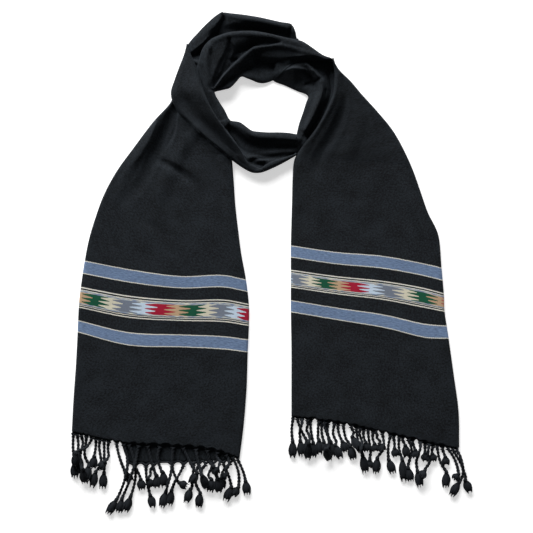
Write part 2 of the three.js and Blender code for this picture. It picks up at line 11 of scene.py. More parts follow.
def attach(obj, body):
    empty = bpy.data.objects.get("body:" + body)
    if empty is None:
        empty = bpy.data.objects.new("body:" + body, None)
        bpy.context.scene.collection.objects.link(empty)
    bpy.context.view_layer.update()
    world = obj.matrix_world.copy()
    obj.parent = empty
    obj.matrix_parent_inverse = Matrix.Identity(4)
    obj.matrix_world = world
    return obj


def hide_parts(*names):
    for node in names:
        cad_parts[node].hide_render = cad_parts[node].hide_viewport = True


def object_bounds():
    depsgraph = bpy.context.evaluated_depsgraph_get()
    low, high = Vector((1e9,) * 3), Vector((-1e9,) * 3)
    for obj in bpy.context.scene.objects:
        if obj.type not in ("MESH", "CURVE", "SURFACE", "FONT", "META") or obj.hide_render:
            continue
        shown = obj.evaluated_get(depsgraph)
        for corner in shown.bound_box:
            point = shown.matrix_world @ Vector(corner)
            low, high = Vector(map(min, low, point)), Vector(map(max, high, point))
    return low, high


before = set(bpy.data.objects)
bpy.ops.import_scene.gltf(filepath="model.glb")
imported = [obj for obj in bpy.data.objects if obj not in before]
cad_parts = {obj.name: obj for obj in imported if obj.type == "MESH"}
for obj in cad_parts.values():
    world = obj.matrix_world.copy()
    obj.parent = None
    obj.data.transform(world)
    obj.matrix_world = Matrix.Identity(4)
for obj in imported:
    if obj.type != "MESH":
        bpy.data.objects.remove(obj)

bl_info = {
    "name": "Folded wool stole",
    "version": (1, 0, 0),
    "blender": (4, 5, 0),
    "location": "3D View > Sidebar > Stole",
    "description": "A black wool stole with woven borders and a twisted fringe, laid flat in folds",
    "category": "Object",
}

CAD_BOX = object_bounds()

# Sizes in this section and in the tables are in millimetres, in the coordinates of the laid-out scarf.
MM = 0.001
CENTRE = {"x": -0.3, "y": -0.3}  # the frame's origin
GAP = 0.3  # between a strand and what it lies on, and between a strip and its hem
LEAST = 2  # the least height of a stretch over what it lies on
FLAP = 2  # height of a lower layer at its hem
STRIP_HEIGHT = 1.8
CORD = 2  # radius
KNOT = 3.8  # radius
HEAD = 5  # half width of a tuft
FLAT = 0.8  # height of a strand, its knot and its tuft, by their width

# A row for each section of a stretch: its two edges, a and b, and the height of the cloth there.
# The last three columns bend the section towards the back at 30, 60 and 85 percent of its width.
SECTION = ["ax", "ay", "bx", "by", "az", "bz", "bend30", "bend60", "bend85"]
SECTIONS = {
    "tail_left": [
        [-146, 346, -112, 336, 12, 12],
        [-160, 309, -99, 295, 13, 12],
        [-171, 275, -83, 252, 11, 12],
        [-204, 237, -73, 217, 9, 10],
        [-235, 196, -68, 179, 7, 8, -2, -2, 0],
        [-264, 156, -65, 142, 6, 7, -3, -3, 0],
        [-286, 115, -62, 98, 5.5, 6, -5, -5, 0],
        [-301, 74, -57, 54, 5, 5.5, -5, -7, 2],
        [-311, 40, -52, 16, 5, 5.5, -6, -7, 2],
        [-318, 4, -44, -28, 5, 5.5, -6, -7, 3],
        [-325, -43, -39, -72, 5, 5, -7, -5, 3],
        [-328, -72, -39, -103, 5, 5, -8, -4, 2],
        [-330, -116, -41, -150, 5, 5, -12, -5, 0],
        [-333, -173, -43, -212, 5, 5, -8, -2, 2],
        [-337, -229, -48, -275, 5, 5, -6, 2, 4],
        [-340, -286, -55, -331, 5, 5, -5, 3, 7],
    ],
    "left_flap": [
        [-248, -290, -58, -307, FLAP, FLAP],
        [-248, -320, -56, -327, FLAP, FLAP],
        [-246, -344, -65, -337, FLAP, FLAP],
    ],
    "collar_back_outer": [
        [-143, 349, -112, 329, 12, 10],
        [-144, 367, -105, 336, 13, 9],
        [-123, 393, -99, 343, 15, 8],
        [-107, 409, -92, 346, 16, 8],
        [-94, 420, -85, 346, 16, 8],
        [-83, 426, -76, 346, 16, 8],
        [-71, 424, -68, 346, 15, 8],
        [-46, 421, -44, 346, 15, 8],
        [-17, 416, -17, 346, 15, 8],
        [14, 409, 5, 344, 15, 8],
        [33, 405, 17, 341, 15, 8],
        [39, 395, 22, 338, 13, 8],
        [42, 382, 27, 336, 11, 8],
    ],
    "collar_right": [
        [42, 378, 5, 333, 11, 7],
        [56, 361, 2, 321, 12, 6],
        [76, 350, 2, 311, 12, 6],
        [101, 345, 22, 302, 12, 6],
        [113, 327, 42, 293, 12, 7],
        [112, 305, 61, 284, 12, 12],
        [112, 283, 57, 270, 12, 15],
        [101, 260, 52, 254, 11, 15],
        [86, 232, 46, 237, 10, 15],
        [69, 208, 43, 225, 9, 14],
        [57, 193, 41, 214, 8, 12],
    ],
    "collar_front": [
        [61, 200, 53, 217, 9, 11],
        [49, 190, 41, 219, 9, 12],
        [32, 181, 29, 221, 9, 13],
        [11, 169, 12, 222, 9, 14],
        [-11, 161, -7, 222, 9, 14],
        [-35, 163, -22, 223, 9, 14],
        [-54, 174, -34, 225, 10, 14],
        [-65, 195, -44, 232, 10, 14],
        [-76, 210, -54, 239, 10, 14],
        [-87, 225, -65, 241, 10, 14],
        [-94, 237, -73, 242, 10, 14],
    ],
    "collar_back_inner": [
        [-90, 220, -72, 242, 13, 14],
        [-104, 246, -80, 259, 14, 15],
        [-116, 273, -90, 275, 15, 16],
        [-126, 302, -97, 290, 16, 17],
        [-128, 326, -85, 294, 18, 18],
        [-123, 346, -71, 298, 20, 19],
        [-117, 363, -60, 309, 22, 19],
        [-105, 377, -52, 317, 23, 19],
        [-89, 385, -42, 314, 24, 15],
        [-71, 390, -34, 311, 24, 11],
        [-51, 392, -24, 307, 24, 8],
        [-31, 392, -14, 306, 24, 7],
        [-7, 388, 2, 311, 25, 7],
        [14, 383, 16, 322, 25, 10],
        [31, 379, 26, 331, 26, 13],
        [50, 375, 34, 337, 26, 18],
        [66, 365, 48, 342, 27, 24],
        [86, 351, 71, 343, 28, 26],
        [100, 346, 95, 342, 28, 28],
    ],
    "collar_left_outer": [
        [-145, 368, -142, 368, 17, 17],
        [-149, 353, -136, 351, 18, 19],
        [-157, 332, -127, 329, 18, 21],
        [-165, 310, -119, 303, 18, 22],
        [-171, 290, -111, 281, 18, 24],
        [-169, 275, -103, 263, 16, 22.5],
        [-160, 257, -90, 241, 14, 20.5],
        [-143, 240, -76, 224, 12, 18.5],
        [-122, 220, -63, 207, 11, 17],
        [-98, 200, -52, 190, 11, 16],
        [-73, 179, -42, 173, 11, 15],
        [-48, 161, -31, 166, 12, 13],
        [-33, 154, -19, 162, 12, 12],
        [-19, 154, -11, 167, 14, 14],
        [2, 162, 0, 173, 14, 14],
        [20, 171, 18, 179, 13, 13],
        [41, 183, 38, 185, 13, 13],
    ],
    "tail_right": [
        [101, 345, 104, 336, 30, 29],
        [105, 326, 116, 324, 30, 27],
        [105, 305, 133, 308, 29, 24],
        [103, 286, 153, 285, 28, 20],
        [94, 264, 178, 258, 25, 15],
        [75, 229, 206, 224, 20, 11],
        [49, 195, 228, 184, 15, 9],
        [38, 176, 241, 154, 12, 7, 0, 2, 2],
        [35, 145, 253, 120, 9, 6, 0, 3, 2],
        [34, 108, 265, 86, 7, 5.5, 0, 4, 2],
        [33, 71, 282, 50, 6, 5, 0, 5, 3],
        [32, 30, 288, -8, 5.5, 5, 0, 5, 3],
        [32, -14, 292, -54, 5, 5, 1, 5, 4],
        [32, -38, 293, -79, 5, 5, 1, 4, 2],
        [32, -82, 300, -127, 5, 5, 0, 0, -5],
        [33, -147, 309, -191, 5, 5, 2, 1, -3],
        [33, -207, 317, -252, 5, 5, 3, 2, -2],
        [33, -260, 318, -315, 5, 5, 5, 3, 0],
    ],
}

# A row for each fold: the line that it follows, and its height and half width along that line.
# A height below nothing is a trough.
FOLD = ["line", "rise", "half"]
FOLDS = {
    "tail_left": [
        [[[-165, 264], [-184, 218], [-204, 173], [-224, 132], [-258, 98]], [-5, -6, 0], [10, 15, 14]],
        [[[-180, 261], [-214, 207], [-248, 149], [-275, 84]], [2, 3.5, 0], [10, 14, 14]],
        [[[-129, 224], [-160, 179], [-190, 115], [-207, 23]], [2, 3.5, 0], [15, 20, 24]],
        [[[-194, 176], [-131, 137], [-116, 84], [-85, -115]], [-1.5, -3.5, 0], [8, 14, 15]],
        [[[-85, 176], [-75, 115], [-68, 40], [-58, -62]], [2, 2.5, 0], [12, 14, 14]],
        [[[-292, 81], [-269, 40], [-252, -1]], [0, -1.6, 0], [8, 10, 10]],
        [[[-231, 81], [-204, 64], [-170, 40]], [0, -1.6, 0], [8, 10, 10]],
    ],
    "left_flap": [],
    "collar_back_outer": [
        [[[-139, 363], [-112, 390], [-82, 417]], [0, 1, 0], [7, 8, 5]],
        [[[-78, 419], [-27, 411], [32, 399]], [1, 3, 1], [5, 8, 5]],
        [[[-78, 419], [-87, 402], [-100, 383]], [-2, -6, -3], [3, 8, 12]],
        [[[-85, 395], [-34, 399], [27, 387]], [-4, -5, -5], [12, 12, 10]],
    ],
    "collar_right": [
        [[[27, 329], [54, 334], [83, 303], [70, 256], [56, 227]], [3, 8, 4], [7, 10, 8]],
        [[[44, 305], [68, 305]], [-2, -3], [14, 10]],
        [[[90, 292], [87, 264], [66, 224]], [-3, -6, -3], [5, 7, 7]],
    ],
    "collar_front": [
        [[[-68, 237], [-48, 227], [-26, 215], [7, 213], [46, 210]], [1, 4, 2], [5, 8, 7]],
        [[[-80, 232], [-61, 220], [-42, 203], [-7, 198], [41, 196]], [-2, -6, -3], [7, 10, 7]],
        [[[-34, 184], [-2, 186], [36, 190]], [2, 4, 1], [5, 7, 5]],
        [[[-32, 174], [-14, 166]], [-4, -5], [7, 7]],
    ],
    "collar_back_inner": [
        [[[-85, 258], [-99, 278], [-107, 305], [-110, 343], [-105, 366]], [1, 4, 3], [7, 8, 7]],
        [[[-102, 373], [-75, 385], [-34, 387], [14, 378], [58, 365]], [1, 3, 1], [7, 8, 7]],
        [[[-71, 380], [-75, 354], [-87, 326], [-97, 302]], [-3, -8, -5], [3, 10, 8]],
        [[[-95, 298], [-60, 337], [-29, 361], [7, 368], [82, 348]], [3, 6, 1], [7, 10, 5]],
        [[[-68, 343], [-46, 363], [-14, 375], [20, 371]], [-3, -5, 0], [7, 8, 7]],
        [[[-26, 356], [-17, 336], [22, 337], [78, 344]], [-3, -7, -2], [5, 12, 5]],
    ],
    "collar_left_outer": [
        [[[-141, 360], [-114, 292], [-90, 249], [-58, 203], [-37, 171]], [1, 3, 1], [3, 7, 5]],
        [[[-156, 322], [-150, 278], [-116, 237], [-68, 190]], [0, -2.5, 0], [10, 14, 10]],
    ],
    "tail_right": [
        [[[105, 336], [109, 305], [100, 268], [75, 224], [42, 156]], [0, 3, 0], [4, 7, 7]],
        [[[117, 312], [122, 275], [109, 230], [82, 186], [63, 145]], [-2, -5, 0], [7, 14, 12]],
        [[[143, 271], [146, 237], [126, 183], [105, 122]], [0, 3, 0], [14, 20, 20]],
        [[[54, 135], [53, 82], [58, 23]], [0, -2.2, 0], [8, 10, 8]],
        [[[71, 159], [75, 91], [82, 6]], [0, 1.8, 0], [8, 10, 10]],
        [[[65, -93], [66, -164], [63, -249]], [0, -1.2, -1], [10, 12, 12]],
        [[[211, 162], [238, 99], [269, 23]], [0, 2, 0], [14, 14, 14]],
    ],
}

# Finer folds of the cloth's surface. A crease has steeper sides than a fold, and its last column is
# the half width to the right of its line, where that differs.
CREASE = ["line", "rise", "half", "right_half"]
CREASES = {
    "tail_left": [
        [[[-161, 268], [-162, 246], [-166, 222], [-178, 200], [-202, 166]],
         [-4, -6, -6, -4, 0], [2, 3, 4, 8, 12], [12, 22, 26, 22, 14]],
        [[[-188, 262], [-196, 236], [-210, 204], [-236, 166]],
         [4, 7, 6, 1], [18, 24, 24, 16], [8, 12, 14, 12]],
        [[[-150, 250], [-124, 224], [-94, 200], [-72, 182]], [2, 4, 4, 2], [14, 16, 16, 14]],
        [[[-200, 180], [-176, 170], [-148, 150], [-128, 128]],
         [0, -3, -3, 0], [4, 6, 8, 8], [10, 14, 18, 14]],
        [[[-158, 250], [-150, 215], [-150, 180]], [2, 3, 0], [5, 10, 14], [16, 20, 20]],
    ],
    "collar_back_outer": [
        [[[-146, 348], [-124, 358], [-104, 373], [-92, 392], [-85, 411], [-82, 427]],
         [-5, -8, -12, -14, -14, -9], [3, 3, 3, 3, 3, 2], [8, 18, 30, 34, 26, 16]],
        [[[-94, 386], [-60, 390], [-10, 389], [14, 385], [30, 378]],
         [-8, -12, -12, -12, -10], [14, 17, 17, 17, 18]],
        [[[-138, 357], [-120, 370], [-102, 389], [-86, 412]],
         [2, 5, 5, 3], [10, 18, 20, 12], [3, 4, 4, 3]],
        [[[35, 405], [29, 392], [22, 376]], [-5, -8, -8], [3, 6, 10], [2, 3, 3]],
        [[[-96, 362], [-60, 366], [-15, 366], [20, 356]], [-6, -8, -8, -4], [16, 18, 18, 14]],
    ],
    "collar_right": [
        [[[14, 324], [36, 329], [56, 328]], [4, 11, 5], [6, 7, 4], [24, 30, 18]],
        [[[4, 312], [32, 300], [56, 290]], [-4, -5, -4], [20, 22, 16]],
        [[[58, 338], [70, 324], [84, 311]], [5, 8, 5], [7, 8, 9]],
        [[[86, 306], [84, 282], [70, 250], [52, 218]], [3, 5, 5, 3], [10, 12, 12, 10]],
        [[[58, 304], [69, 308], [82, 313]], [-7, -11, -3], [3, 3, 2], [6, 9, 5]],
        [[[58, 332], [66, 319], [70, 309]], [-2, -6, -6], [2, 2, 2], [8, 14, 16]],
        [[[95, 325], [99, 292], [90, 260], [70, 224], [56, 208]],
         [-5, -9, -9, -7, -6], [6, 7, 8, 8, 8], [5, 6, 7, 9, 10]],
    ],
    "collar_front": [
        [[[-84, 236], [-64, 206], [-42, 189], [-7, 182], [38, 183]],
         [-5, -10, -12, -12, -9], [8, 22, 34, 38, 30], [8, 10, 10, 8, 8]],
        [[[-36, 176], [-10, 179], [12, 180], [36, 184]], [-5, -4, -3, -1], [3, 3, 3, 3], [5, 6, 5, 4]],
        [[[-36, 173], [-24, 168], [-12, 171]], [-6, -8, -4], [4, 5, 4], [6, 6, 5]],
    ],
    "collar_back_inner": [
        [[[-73, 379], [-68, 364], [-72, 350], [-80, 336]], [-2, -4, -2, 0], [2, 4, 5, 5], [5, 8, 8, 6]],
        [[[-74, 358], [-80, 342], [-88, 324], [-97, 302]], [0, 7, 9, 5], [9, 12, 14, 12]],
        [[[-110, 368], [-104, 352], [-100, 336]], [0, -3, -1], [5, 7, 7], [5, 7, 7]],
        [[[-99, 298], [-80, 323], [-56, 348], [-33, 366]],
         [-8, -13, -14, -10], [12, 22, 26, 18], [3, 3, 3, 2]],
        [[[-30, 367], [-6, 369], [8, 372], [20, 375]], [-7, -8, -5, 0], [14, 12, 9, 6], [2, 3, 3, 3]],
        [[[-30, 364], [-27, 350], [-16, 338], [4, 335], [26, 342], [50, 346], [72, 347]],
         [-4, -11, -15, -13, -9, -8, -5], [3, 7, 14, 15, 7, 4, 3], [3, 16, 32, 36, 24, 12, 6]],
        [[[-97, 293], [-74, 307], [-52, 322], [-28, 332]],
         [-5, -9, -10, -8], [8, 13, 17, 12], [6, 12, 16, 20]],
        [[[-134, 342], [-121, 302], [-101, 262], [-73, 219]],
         [-5, -6, -6, -5], [5, 6, 6, 5], [10, 10, 10, 10]],
    ],
    "collar_left_outer": [
        [[[-154, 296], [-148, 272], [-124, 238], [-88, 208], [-62, 187]],
         [0, -6, -7, -6, -2], [22, 32, 32, 24, 12], [8, 12, 12, 10, 8]],
        [[[-139, 350], [-124, 302], [-102, 259], [-70, 213], [-45, 182]],
         [2, 7, 9, 8, 3], [3, 3, 3, 3, 3], [14, 30, 36, 30, 14]],
    ],
    "tail_right": [
        [[[106, 330], [105, 304], [96, 270], [71, 228], [50, 196], [40, 165]],
         [-1, -4, -4, -4, -3, 0], [4, 4, 4, 4, 4, 6], [7, 8, 8, 8, 8, 8]],
        [[[130, 300], [121, 256], [96, 208], [76, 160], [66, 110]],
         [-1, -2, -2, -2, 0], [16, 18, 18, 16, 14]],
    ],
}

# A row for each tassel: where it leaves the hem, how far its knot drifts sideways and reaches down,
# the bow of its strand, and the swing and length of the tuft below the knot.
TASSEL = ["root", "drift", "reach", "bow", "swing", "tuft"]
TASSELS = {
    "fringe_left_lower": [
        [-233, 10, 20, 1, 2, 19],
        [-214, 7, 48, -2, 5, 22],
        [-201, -10, 20, -3, 5, 17],
        [-170, 12, 29, -2, 14, 7],
        [-150, -20, 42, -2, -5, 27],
        [-133, -8, 39, 2, -5, 26],
        [-124, 2, 48, -8, -3, 26],
        [-112, -5, 22, -5, 7, 20],
        [-99, -12, 27, -1, 5, 20],
        [-83, 14, 39, 2, -10, 24],
        [-71, -15, 24, -4, 2, 20],
    ],
    "fringe_left_upper": [
        [-337, 2, 48, -2, 0, 27],
        [-331, 0, 37, 2, 2, 34],
        [-324, 3, 53, -5, 3, 29],
        [-315, -5, 48, -1, 5, 27],
        [-306, -24, 26, 5, 0, 24],
        [-299, -3, 29, 1, -4, 22],
        [-292, -7, 54, 0, -7, 27],
        [-285, 0, 54, 0, -3, 27],
        [-277, -7, 34, 0, -12, 12],
        [-264, 15, 49, -2, 10, 17],
        [-252, -12, 94, 11, -15, 24],
        [-243, 3, 88, 10, -10, 26],
        [-226, -29, 90, 4, -5, 24],
        [-211, 14, 49, -1, 0, 22],
        [-190, 3, 42, -5, 3, 27],
        [-168, -12, 75, 3, -8, 27],
        [-151, 22, 41, -1, -10, 22],
        [-129, 10, 42, -1, 10, 24],
        [-110, 10, 27, -2, 8, 14],
        [-92, -7, 41, -2, 7, 24],
        [-78, -2, 27, 6, -7, 14],
        [-67, 10, 51, 5, -12, 14],
        [-59, 14, 37, 2, 3, 24],
    ],
    "fringe_right_lower": [
        [65, 5, 36, -1, 0, 26],
        [85, 3, 32, -2, 0, 17],
        [95, 5, 31, -3, 2, 26],
        [112, 7, 27, -2, 8, 19],
        [143, 3, 22, 0, 5, 19],
        [156, 3, 20, -2, 3, 17],
        [172, 2, 19, -2, 2, 14],
        [206, 2, 19, 1, 3, 15],
        [221, 5, 10, 0, 3, 22],
        [238, 5, 14, 0, 2, 14],
        [260, 0, 14, 0, 0, 15],
        [274, -2, 12, -1, 2, 14],
        [289, 5, 14, 0, 2, 15],
    ],
    "fringe_right_upper": [
        [36, -1, 39, -2, 0, 29],
        [43, 16, 37, -2, 3, 17],
        [51, -3, 36, 0, 3, 27],
        [60, 3, 37, 0, 1, 26],
        [80, 0, 32, -2, 2, 24],
        [91, 1, 37, -1, 5, 26],
        [106, -1, 36, -2, 12, 24],
        [121, 10, 36, -2, 8, 24],
        [134, 7, 15, 0, 7, 24],
        [150, 1, 39, -2, 8, 37],
        [163, 3, 51, 3, -2, 14],
        [175, 3, 20, -3, 12, 14],
        [187, -8, 42, 6, -3, 27],
        [201, -3, 41, -2, 8, 24],
        [216, 5, 37, -3, 3, 39],
        [231, 0, 48, 2, 5, 24],
        [252, -5, 49, -4, 5, 27],
        [267, -8, 44, 5, -8, 14],
        [280, 16, 44, -3, -1, 27],
        [298, 19, 44, 4, -8, 10],
        [306, 12, 56, 6, -14, 24],
        [313, 12, 51, 4, 12, 22],
    ],
}

# A row for each line of tassels: the hem that it hangs from, the stretch of it that it covers, the
# height and width of its strip, and the hem of the layer that its strands lie on near the strip.
FRINGE = ["name", "hem", "from", "to", "base", "width", "under"]
FRINGES = [
    ["fringe_left_lower", "left_flap", -245, -66, 0.2, 3],
    ["fringe_left_upper", "tail_left", -339, -56, 2.6, 3, "left_flap"],
    ["fringe_right_lower", "tail_right", 34, 317, 0.2, 5],
    ["fringe_right_upper", "tail_right", 34, 317, 2.6, 3, "tail_right"],
]

# The shape of a stretch's edges: how wide and deep they round off, how many layers part at its sides
# and how deeply, and for an end folded double, the edge where its fold is. The ring's turns are laid in
# this order.
SHAPE = ["roll", "drop", "layers", "groove", "fold"]
TURN = [10, 5, 3, 1.6, ""]
SHAPES = {
    "tail_left": [5, 0, 1, 0, "b"],
    "collar_back_outer": TURN,
    "collar_front": TURN,
    "collar_right": TURN,
    "collar_back_inner": TURN,
    "collar_left_outer": TURN,
    "tail_right": [5, 0, 1, 0, "a"],
}
PIECES = {
    "tail_left": "left_end",
    "collar_back_outer": "back_outer_turn",
    "collar_front": "front_turn",
    "collar_right": "right_turn",
    "collar_back_inner": "back_inner_turn",
    "collar_left_outer": "left_outer_turn",
    "tail_right": "right_end",
    "fringe_left_lower": "left_lower_fringe",
    "fringe_left_upper": "left_upper_fringe",
    "fringe_right_lower": "right_lower_fringe",
    "fringe_right_upper": "right_upper_fringe",
}
UPPER_FRINGE = {"tail_left": "fringe_left_upper", "tail_right": "fringe_right_upper"}
LOWER_FRINGE = {"tail_left": "fringe_left_lower", "tail_right": "fringe_right_lower"}

# The lower layer's own sections towards the left hem: its two edges, and how much of the bend it keeps.
LOWER = {
    "tail_left": {
        12: [-322, -116, -41, -150, 1],
        13: [-306, -180, -43, -212, 0.6],
        14: [-280, -243, -48, -275, 0.3],
        15: [-247, -343, -60, -335, 0],
    },
}
REST = 0.15  # from the cloth to what it lies on
EASE = 4  # how gently a hollow levels out where it comes near what it lies on
WIDEST_ROLL = 0.45  # the most of a section that one rounded edge takes
WIDEST_LIP = 0.3  # the most of a section that a side's layers draw in
ROLL_STEPS = 6
SIDE_STEPS = 6  # of one layer
LOWER_STEPS = 40
UNDER_TURN = (0.48, 0.04, 7)  # a turn's underside: from and to which share of its width, and its columns
USUAL_WIDTH = 75  # the percentile of its widths that sets a stretch's number of columns
END_DROP = 0.5  # how far an end's edges round down, by share of its height
RIPPLES = [(38, 1), (13, 3)]  # each one's size, and what its depth is divided by
LIP_POWER = 1.5  # how sharply the layers of a side part
CREASE_POWER = 1.5  # how sharply a crease comes to its line
SELVEDGE_STEP = 3  # how far the lower layer's open edge stays inside the upper one's
SCALLOP_HALF = 4.5  # half width of a tassel's pull on the hem
SCALLOP_FADE = 5  # the pull fades out within a fifth of the last section
END_ROUND = 3  # how far a closed end bulges
END_ANGLES = [40, 70, 90]
FINE_SHARES = 600  # samples along a stretch to measure it
HIGH_ABOVE = 0.2  # metres, over everything that is laid

# A strand's stations: share of the way from the root to the knot, or beyond it, and radius.
STATIONS = [
    (0, 0.75 * CORD),
    (0.22, CORD),
    (0.45, CORD),
    (0.68, CORD),
    (0.88, CORD),
    (1, KNOT),
    (1.25, 0.6 * KNOT),
    (1.65, HEAD),
    (2, 0.55 * HEAD),
]
FULL_CORD = 2.7  # the radius that a cord's loose wool fills
FULL_HEAD = 7.2  # the half width that a tuft's loose wool fills
UNDER_HEM = 1.8  # how far a strip is tucked under its hem
PAST_HEM = 18  # how far beyond the lower hem a strand still lies on it
ROOTED = 1  # how far a strand starts inside its strip
PARALLEL = 1e-6  # below this, two steps of strands count as parallel
PASSES = 10
ASIDE = 0.45  # share of the room that a strand has before it is moved rather than lifted
FIRST = 0.3  # share of the first step that stays at the root
CLEAR = 3 * GAP  # between two strands
FAR = 12 * HEAD  # strands further apart than this can't meet
LIFT = 0.5
MOST_LIFTS = 24

# The cord: how much it flares at its root and how soon that fades, and how its thickness wavers.
CORD_END = 0.97  # of its strand
CORD_SIDES = 10
FEWEST_RINGS = 12
FLARE = 0.7
FLARE_LENGTH = 3.5
WAVER = 0.08
WAVER_LENGTH = 9

# The knot, by share of its strand, with the radius at its ends and how far its wraps turn in a ring.
KNOT_SPAN = (0.95, 1.16)
KNOT_RINGS = 11
KNOT_SIDES = 12
KNOT_END = 1.6
WRAP_TURN = 2.2

# The tuft: where it starts on its strand, and its core's length and width by share of the tuft's.
TUFT_START = 1.08
CORE_LENGTH = 0.84
CORE_WIDTH = 0.86
CORE_RINGS = 8
CORE_SIDES = 10
YARN_SIDES = 5
YARN_TAPER = [1, 1.1, 1.15, 1.1, 0.95, 0.5]  # a loose yarn's radius at its rings
YARN_LIFT = 0.1  # of a loose yarn from the floor

STRIP_STEP = 1.5
STRIP_SIDES = 8
STRIP_DRAW = 0.45  # how much narrower a strip is between its tassels

# The border, by the cloth's own length in metres. The first list has the length at four sections of
# each end: where the upper stripe begins, the band begins, the band ends and the lower stripe ends.
BORDER = [-0.045, 0.0, 0.030, 0.075]
BORDER_ROWS = {"tail_left": 9, "tail_right": 11}
STRIPES = [(-0.045, -0.025), (0.0555, 0.075)]
BAND_LINES = (-0.003, 0.0325)
BAND = (0.0055, 0.0245)
# A line's place and half width.
CREAM_LINES = [(-0.045, 0.0007), (-0.025, 0.0007), (-0.0022, 0.0009), (0.0018, 0.0005), (0.0284, 0.0005),
               (0.0319, 0.0008), (0.0555, 0.0007), (0.075, 0.0007)]
BLACK_LINES = [(0.0001, 0.0012), (0.0273, 0.0006), (0.0300, 0.0010)]
BEADS = 57  # radians of the cream lines' beading for each step of the figures

# Places in the row of figures, by share of the upper layer's width from the fold. The middle of a dark
# figure is an odd number and that of a light one an even number. Beyond the fold they are evenly spaced.
FIGURES = {
    "tail_left": [[0, 11.07], [0.167, 9], [0.329, 7], [0.519, 5], [0.722, 3], [0.901, 1], [1, -0.1]],
    "tail_right": [[0, 9.42], [0.222, 7], [0.41, 5], [0.632, 3], [0.853, 1], [1, -0.33]],
}
FIGURE_SPACING = 27.3

# How far a dark figure's fingers reach to either side at places down the band.
FINGERS = {
    "left": [(0, 0.3), (0.12, 0.9), (0.18, 0.88), (0.3, 0.2), (0.36, 0.2), (0.47, 0.92), (0.53, 0.9),
             (0.65, 0.3), (0.71, 0.32), (0.82, 0.88), (0.88, 0.86), (1, 0.36)],
    "right": [(0, 0.84), (0.05, 0.82), (0.15, 0.34), (0.2, 0.34), (0.3, 0.92), (0.35, 0.9), (0.47, 0.22),
              (0.53, 0.22), (0.64, 0.92), (0.7, 0.9), (0.82, 0.22), (0.87, 0.24), (0.96, 0.7)],
}


def named(columns, rows):
    """Rows as dictionaries: a number that a row leaves out at its end is nothing."""
    return [{c: (row[i] if i < len(row) else 0) for i, c in enumerate(columns)} for row in rows]


def mix(a, b, share):
    return a + (b - a) * share


def clamp(value, low=0.0, high=1.0):
    return max(low, min(high, value))


# Curves and folds, with whole tables at once

def curve_through(points, shares):
    """A centripetal curve through points that are spaced evenly in share, at each share."""
    points = np.asarray(points, float)
    last = len(points) - 1
    ahead = np.vstack([2 * points[0] - points[1], points, 2 * points[-1] - points[-2]])
    place = np.clip(shares, 0, 1) * last
    i = np.minimum(place.astype(int), last - 1)
    u = (place - i)[:, None]
    p0, p1, p2, p3 = (ahead[i + k] for k in range(4))
    root = [np.sum((q - p) ** 2, axis=1) ** 0.25 for p, q in ((p0, p1), (p1, p2), (p2, p3))]
    middle = np.where(root[1] < 1e-4, 1.0, root[1])
    before = np.where(root[0] < 1e-4, middle, root[0])[:, None]
    after = np.where(root[2] < 1e-4, middle, root[2])[:, None]
    middle = middle[:, None]
    leave = ((p1 - p0) / before - (p2 - p0) / (before + middle) + (p2 - p1) / middle) * middle
    arrive = ((p2 - p1) / middle - (p3 - p1) / (middle + after) + (p3 - p2) / after) * middle
    square = -3 * p1 + 3 * p2 - 2 * leave - arrive
    cube = 2 * p1 - 2 * p2 + leave + arrive
    return p1 + leave * u + square * u**2 + cube * u**3


BEND_PLACES = np.array([0, 0.3, 0.6, 0.85, 1])


def bend_at(bends, share):
    """How far a section bends towards the back: a smooth line through its bends at BEND_PLACES."""
    share = np.clip(share, 0, 1)
    count = len(bends)
    full = np.column_stack([np.zeros(count), bends, np.zeros(count)])
    i = np.clip(np.searchsorted(BEND_PLACES, share, side="left"), 1, 4) - 1
    rows = np.arange(count).reshape(-1, *[1] * (share.ndim - 1)) * np.ones_like(i)
    span = BEND_PLACES[i + 1] - BEND_PLACES[i]
    u = (share - BEND_PLACES[i]) / span

    def slope(k):
        before, after = np.maximum(k - 1, 0), np.minimum(k + 1, 4)
        return (full[rows, after] - full[rows, before]) / (BEND_PLACES[after] - BEND_PLACES[before])

    return (
        (2 * u**3 - 3 * u**2 + 1) * full[rows, i]
        + (3 * u**2 - 2 * u**3) * full[rows, i + 1]
        + (u**3 - 2 * u**2 + u) * span * slope(i)
        + (u**3 - u**2) * span * slope(i + 1)
    )


FOLD_STEPS = 14


def shared_out(values, share):
    """Values spaced evenly along a line, read at each share of it."""
    return np.interp(share, np.linspace(0, 1, len(values)), values)


def add_folds(folds, x, y, sharp):
    """The height that folds add at points of the plan."""
    height = np.zeros_like(x)
    for fold in named(CREASE if sharp else FOLD, folds):
        path = curve_through(fold["line"], np.linspace(0, 1, FOLD_STEPS + 1))
        start, step = path[:-1], np.diff(path, axis=0)
        dx, dy = x[..., None] - start[:, 0], y[..., None] - start[:, 1]
        along = np.clip((dx * step[:, 0] + dy * step[:, 1]) / np.sum(step**2, axis=1), 0, 1)
        distance = np.hypot(dx - along * step[:, 0], dy - along * step[:, 1])
        nearest = np.argmin(distance, axis=-1)
        share = (nearest + np.take_along_axis(along, nearest[..., None], -1)[..., 0]) / FOLD_STEPS
        half = shared_out(fold["half"], share)
        if fold.get("right_half"):
            side = np.take_along_axis(dx * step[:, 1] - dy * step[:, 0], nearest[..., None], -1)[..., 0]
            half = np.where(side > 0, shared_out(fold["right_half"], share), half)
        reach = np.min(distance, axis=-1) / half
        rise = shared_out(fold["rise"], share)
        near = np.clip(1 - reach, 0, 1)
        profile = near**CREASE_POWER if sharp else (1 - np.clip(reach, 0, 1) ** 2) ** 2
        height += rise * profile
    return height


def ripple(x, y, size, depth):
    """Slow unevenness of hand-laid cloth."""
    flat = np.column_stack([x.ravel(), y.ravel()]) / size
    values = [noise.noise(Vector((px, py, size))) for px, py in flat]
    return depth * np.array(values).reshape(x.shape)


# Sections

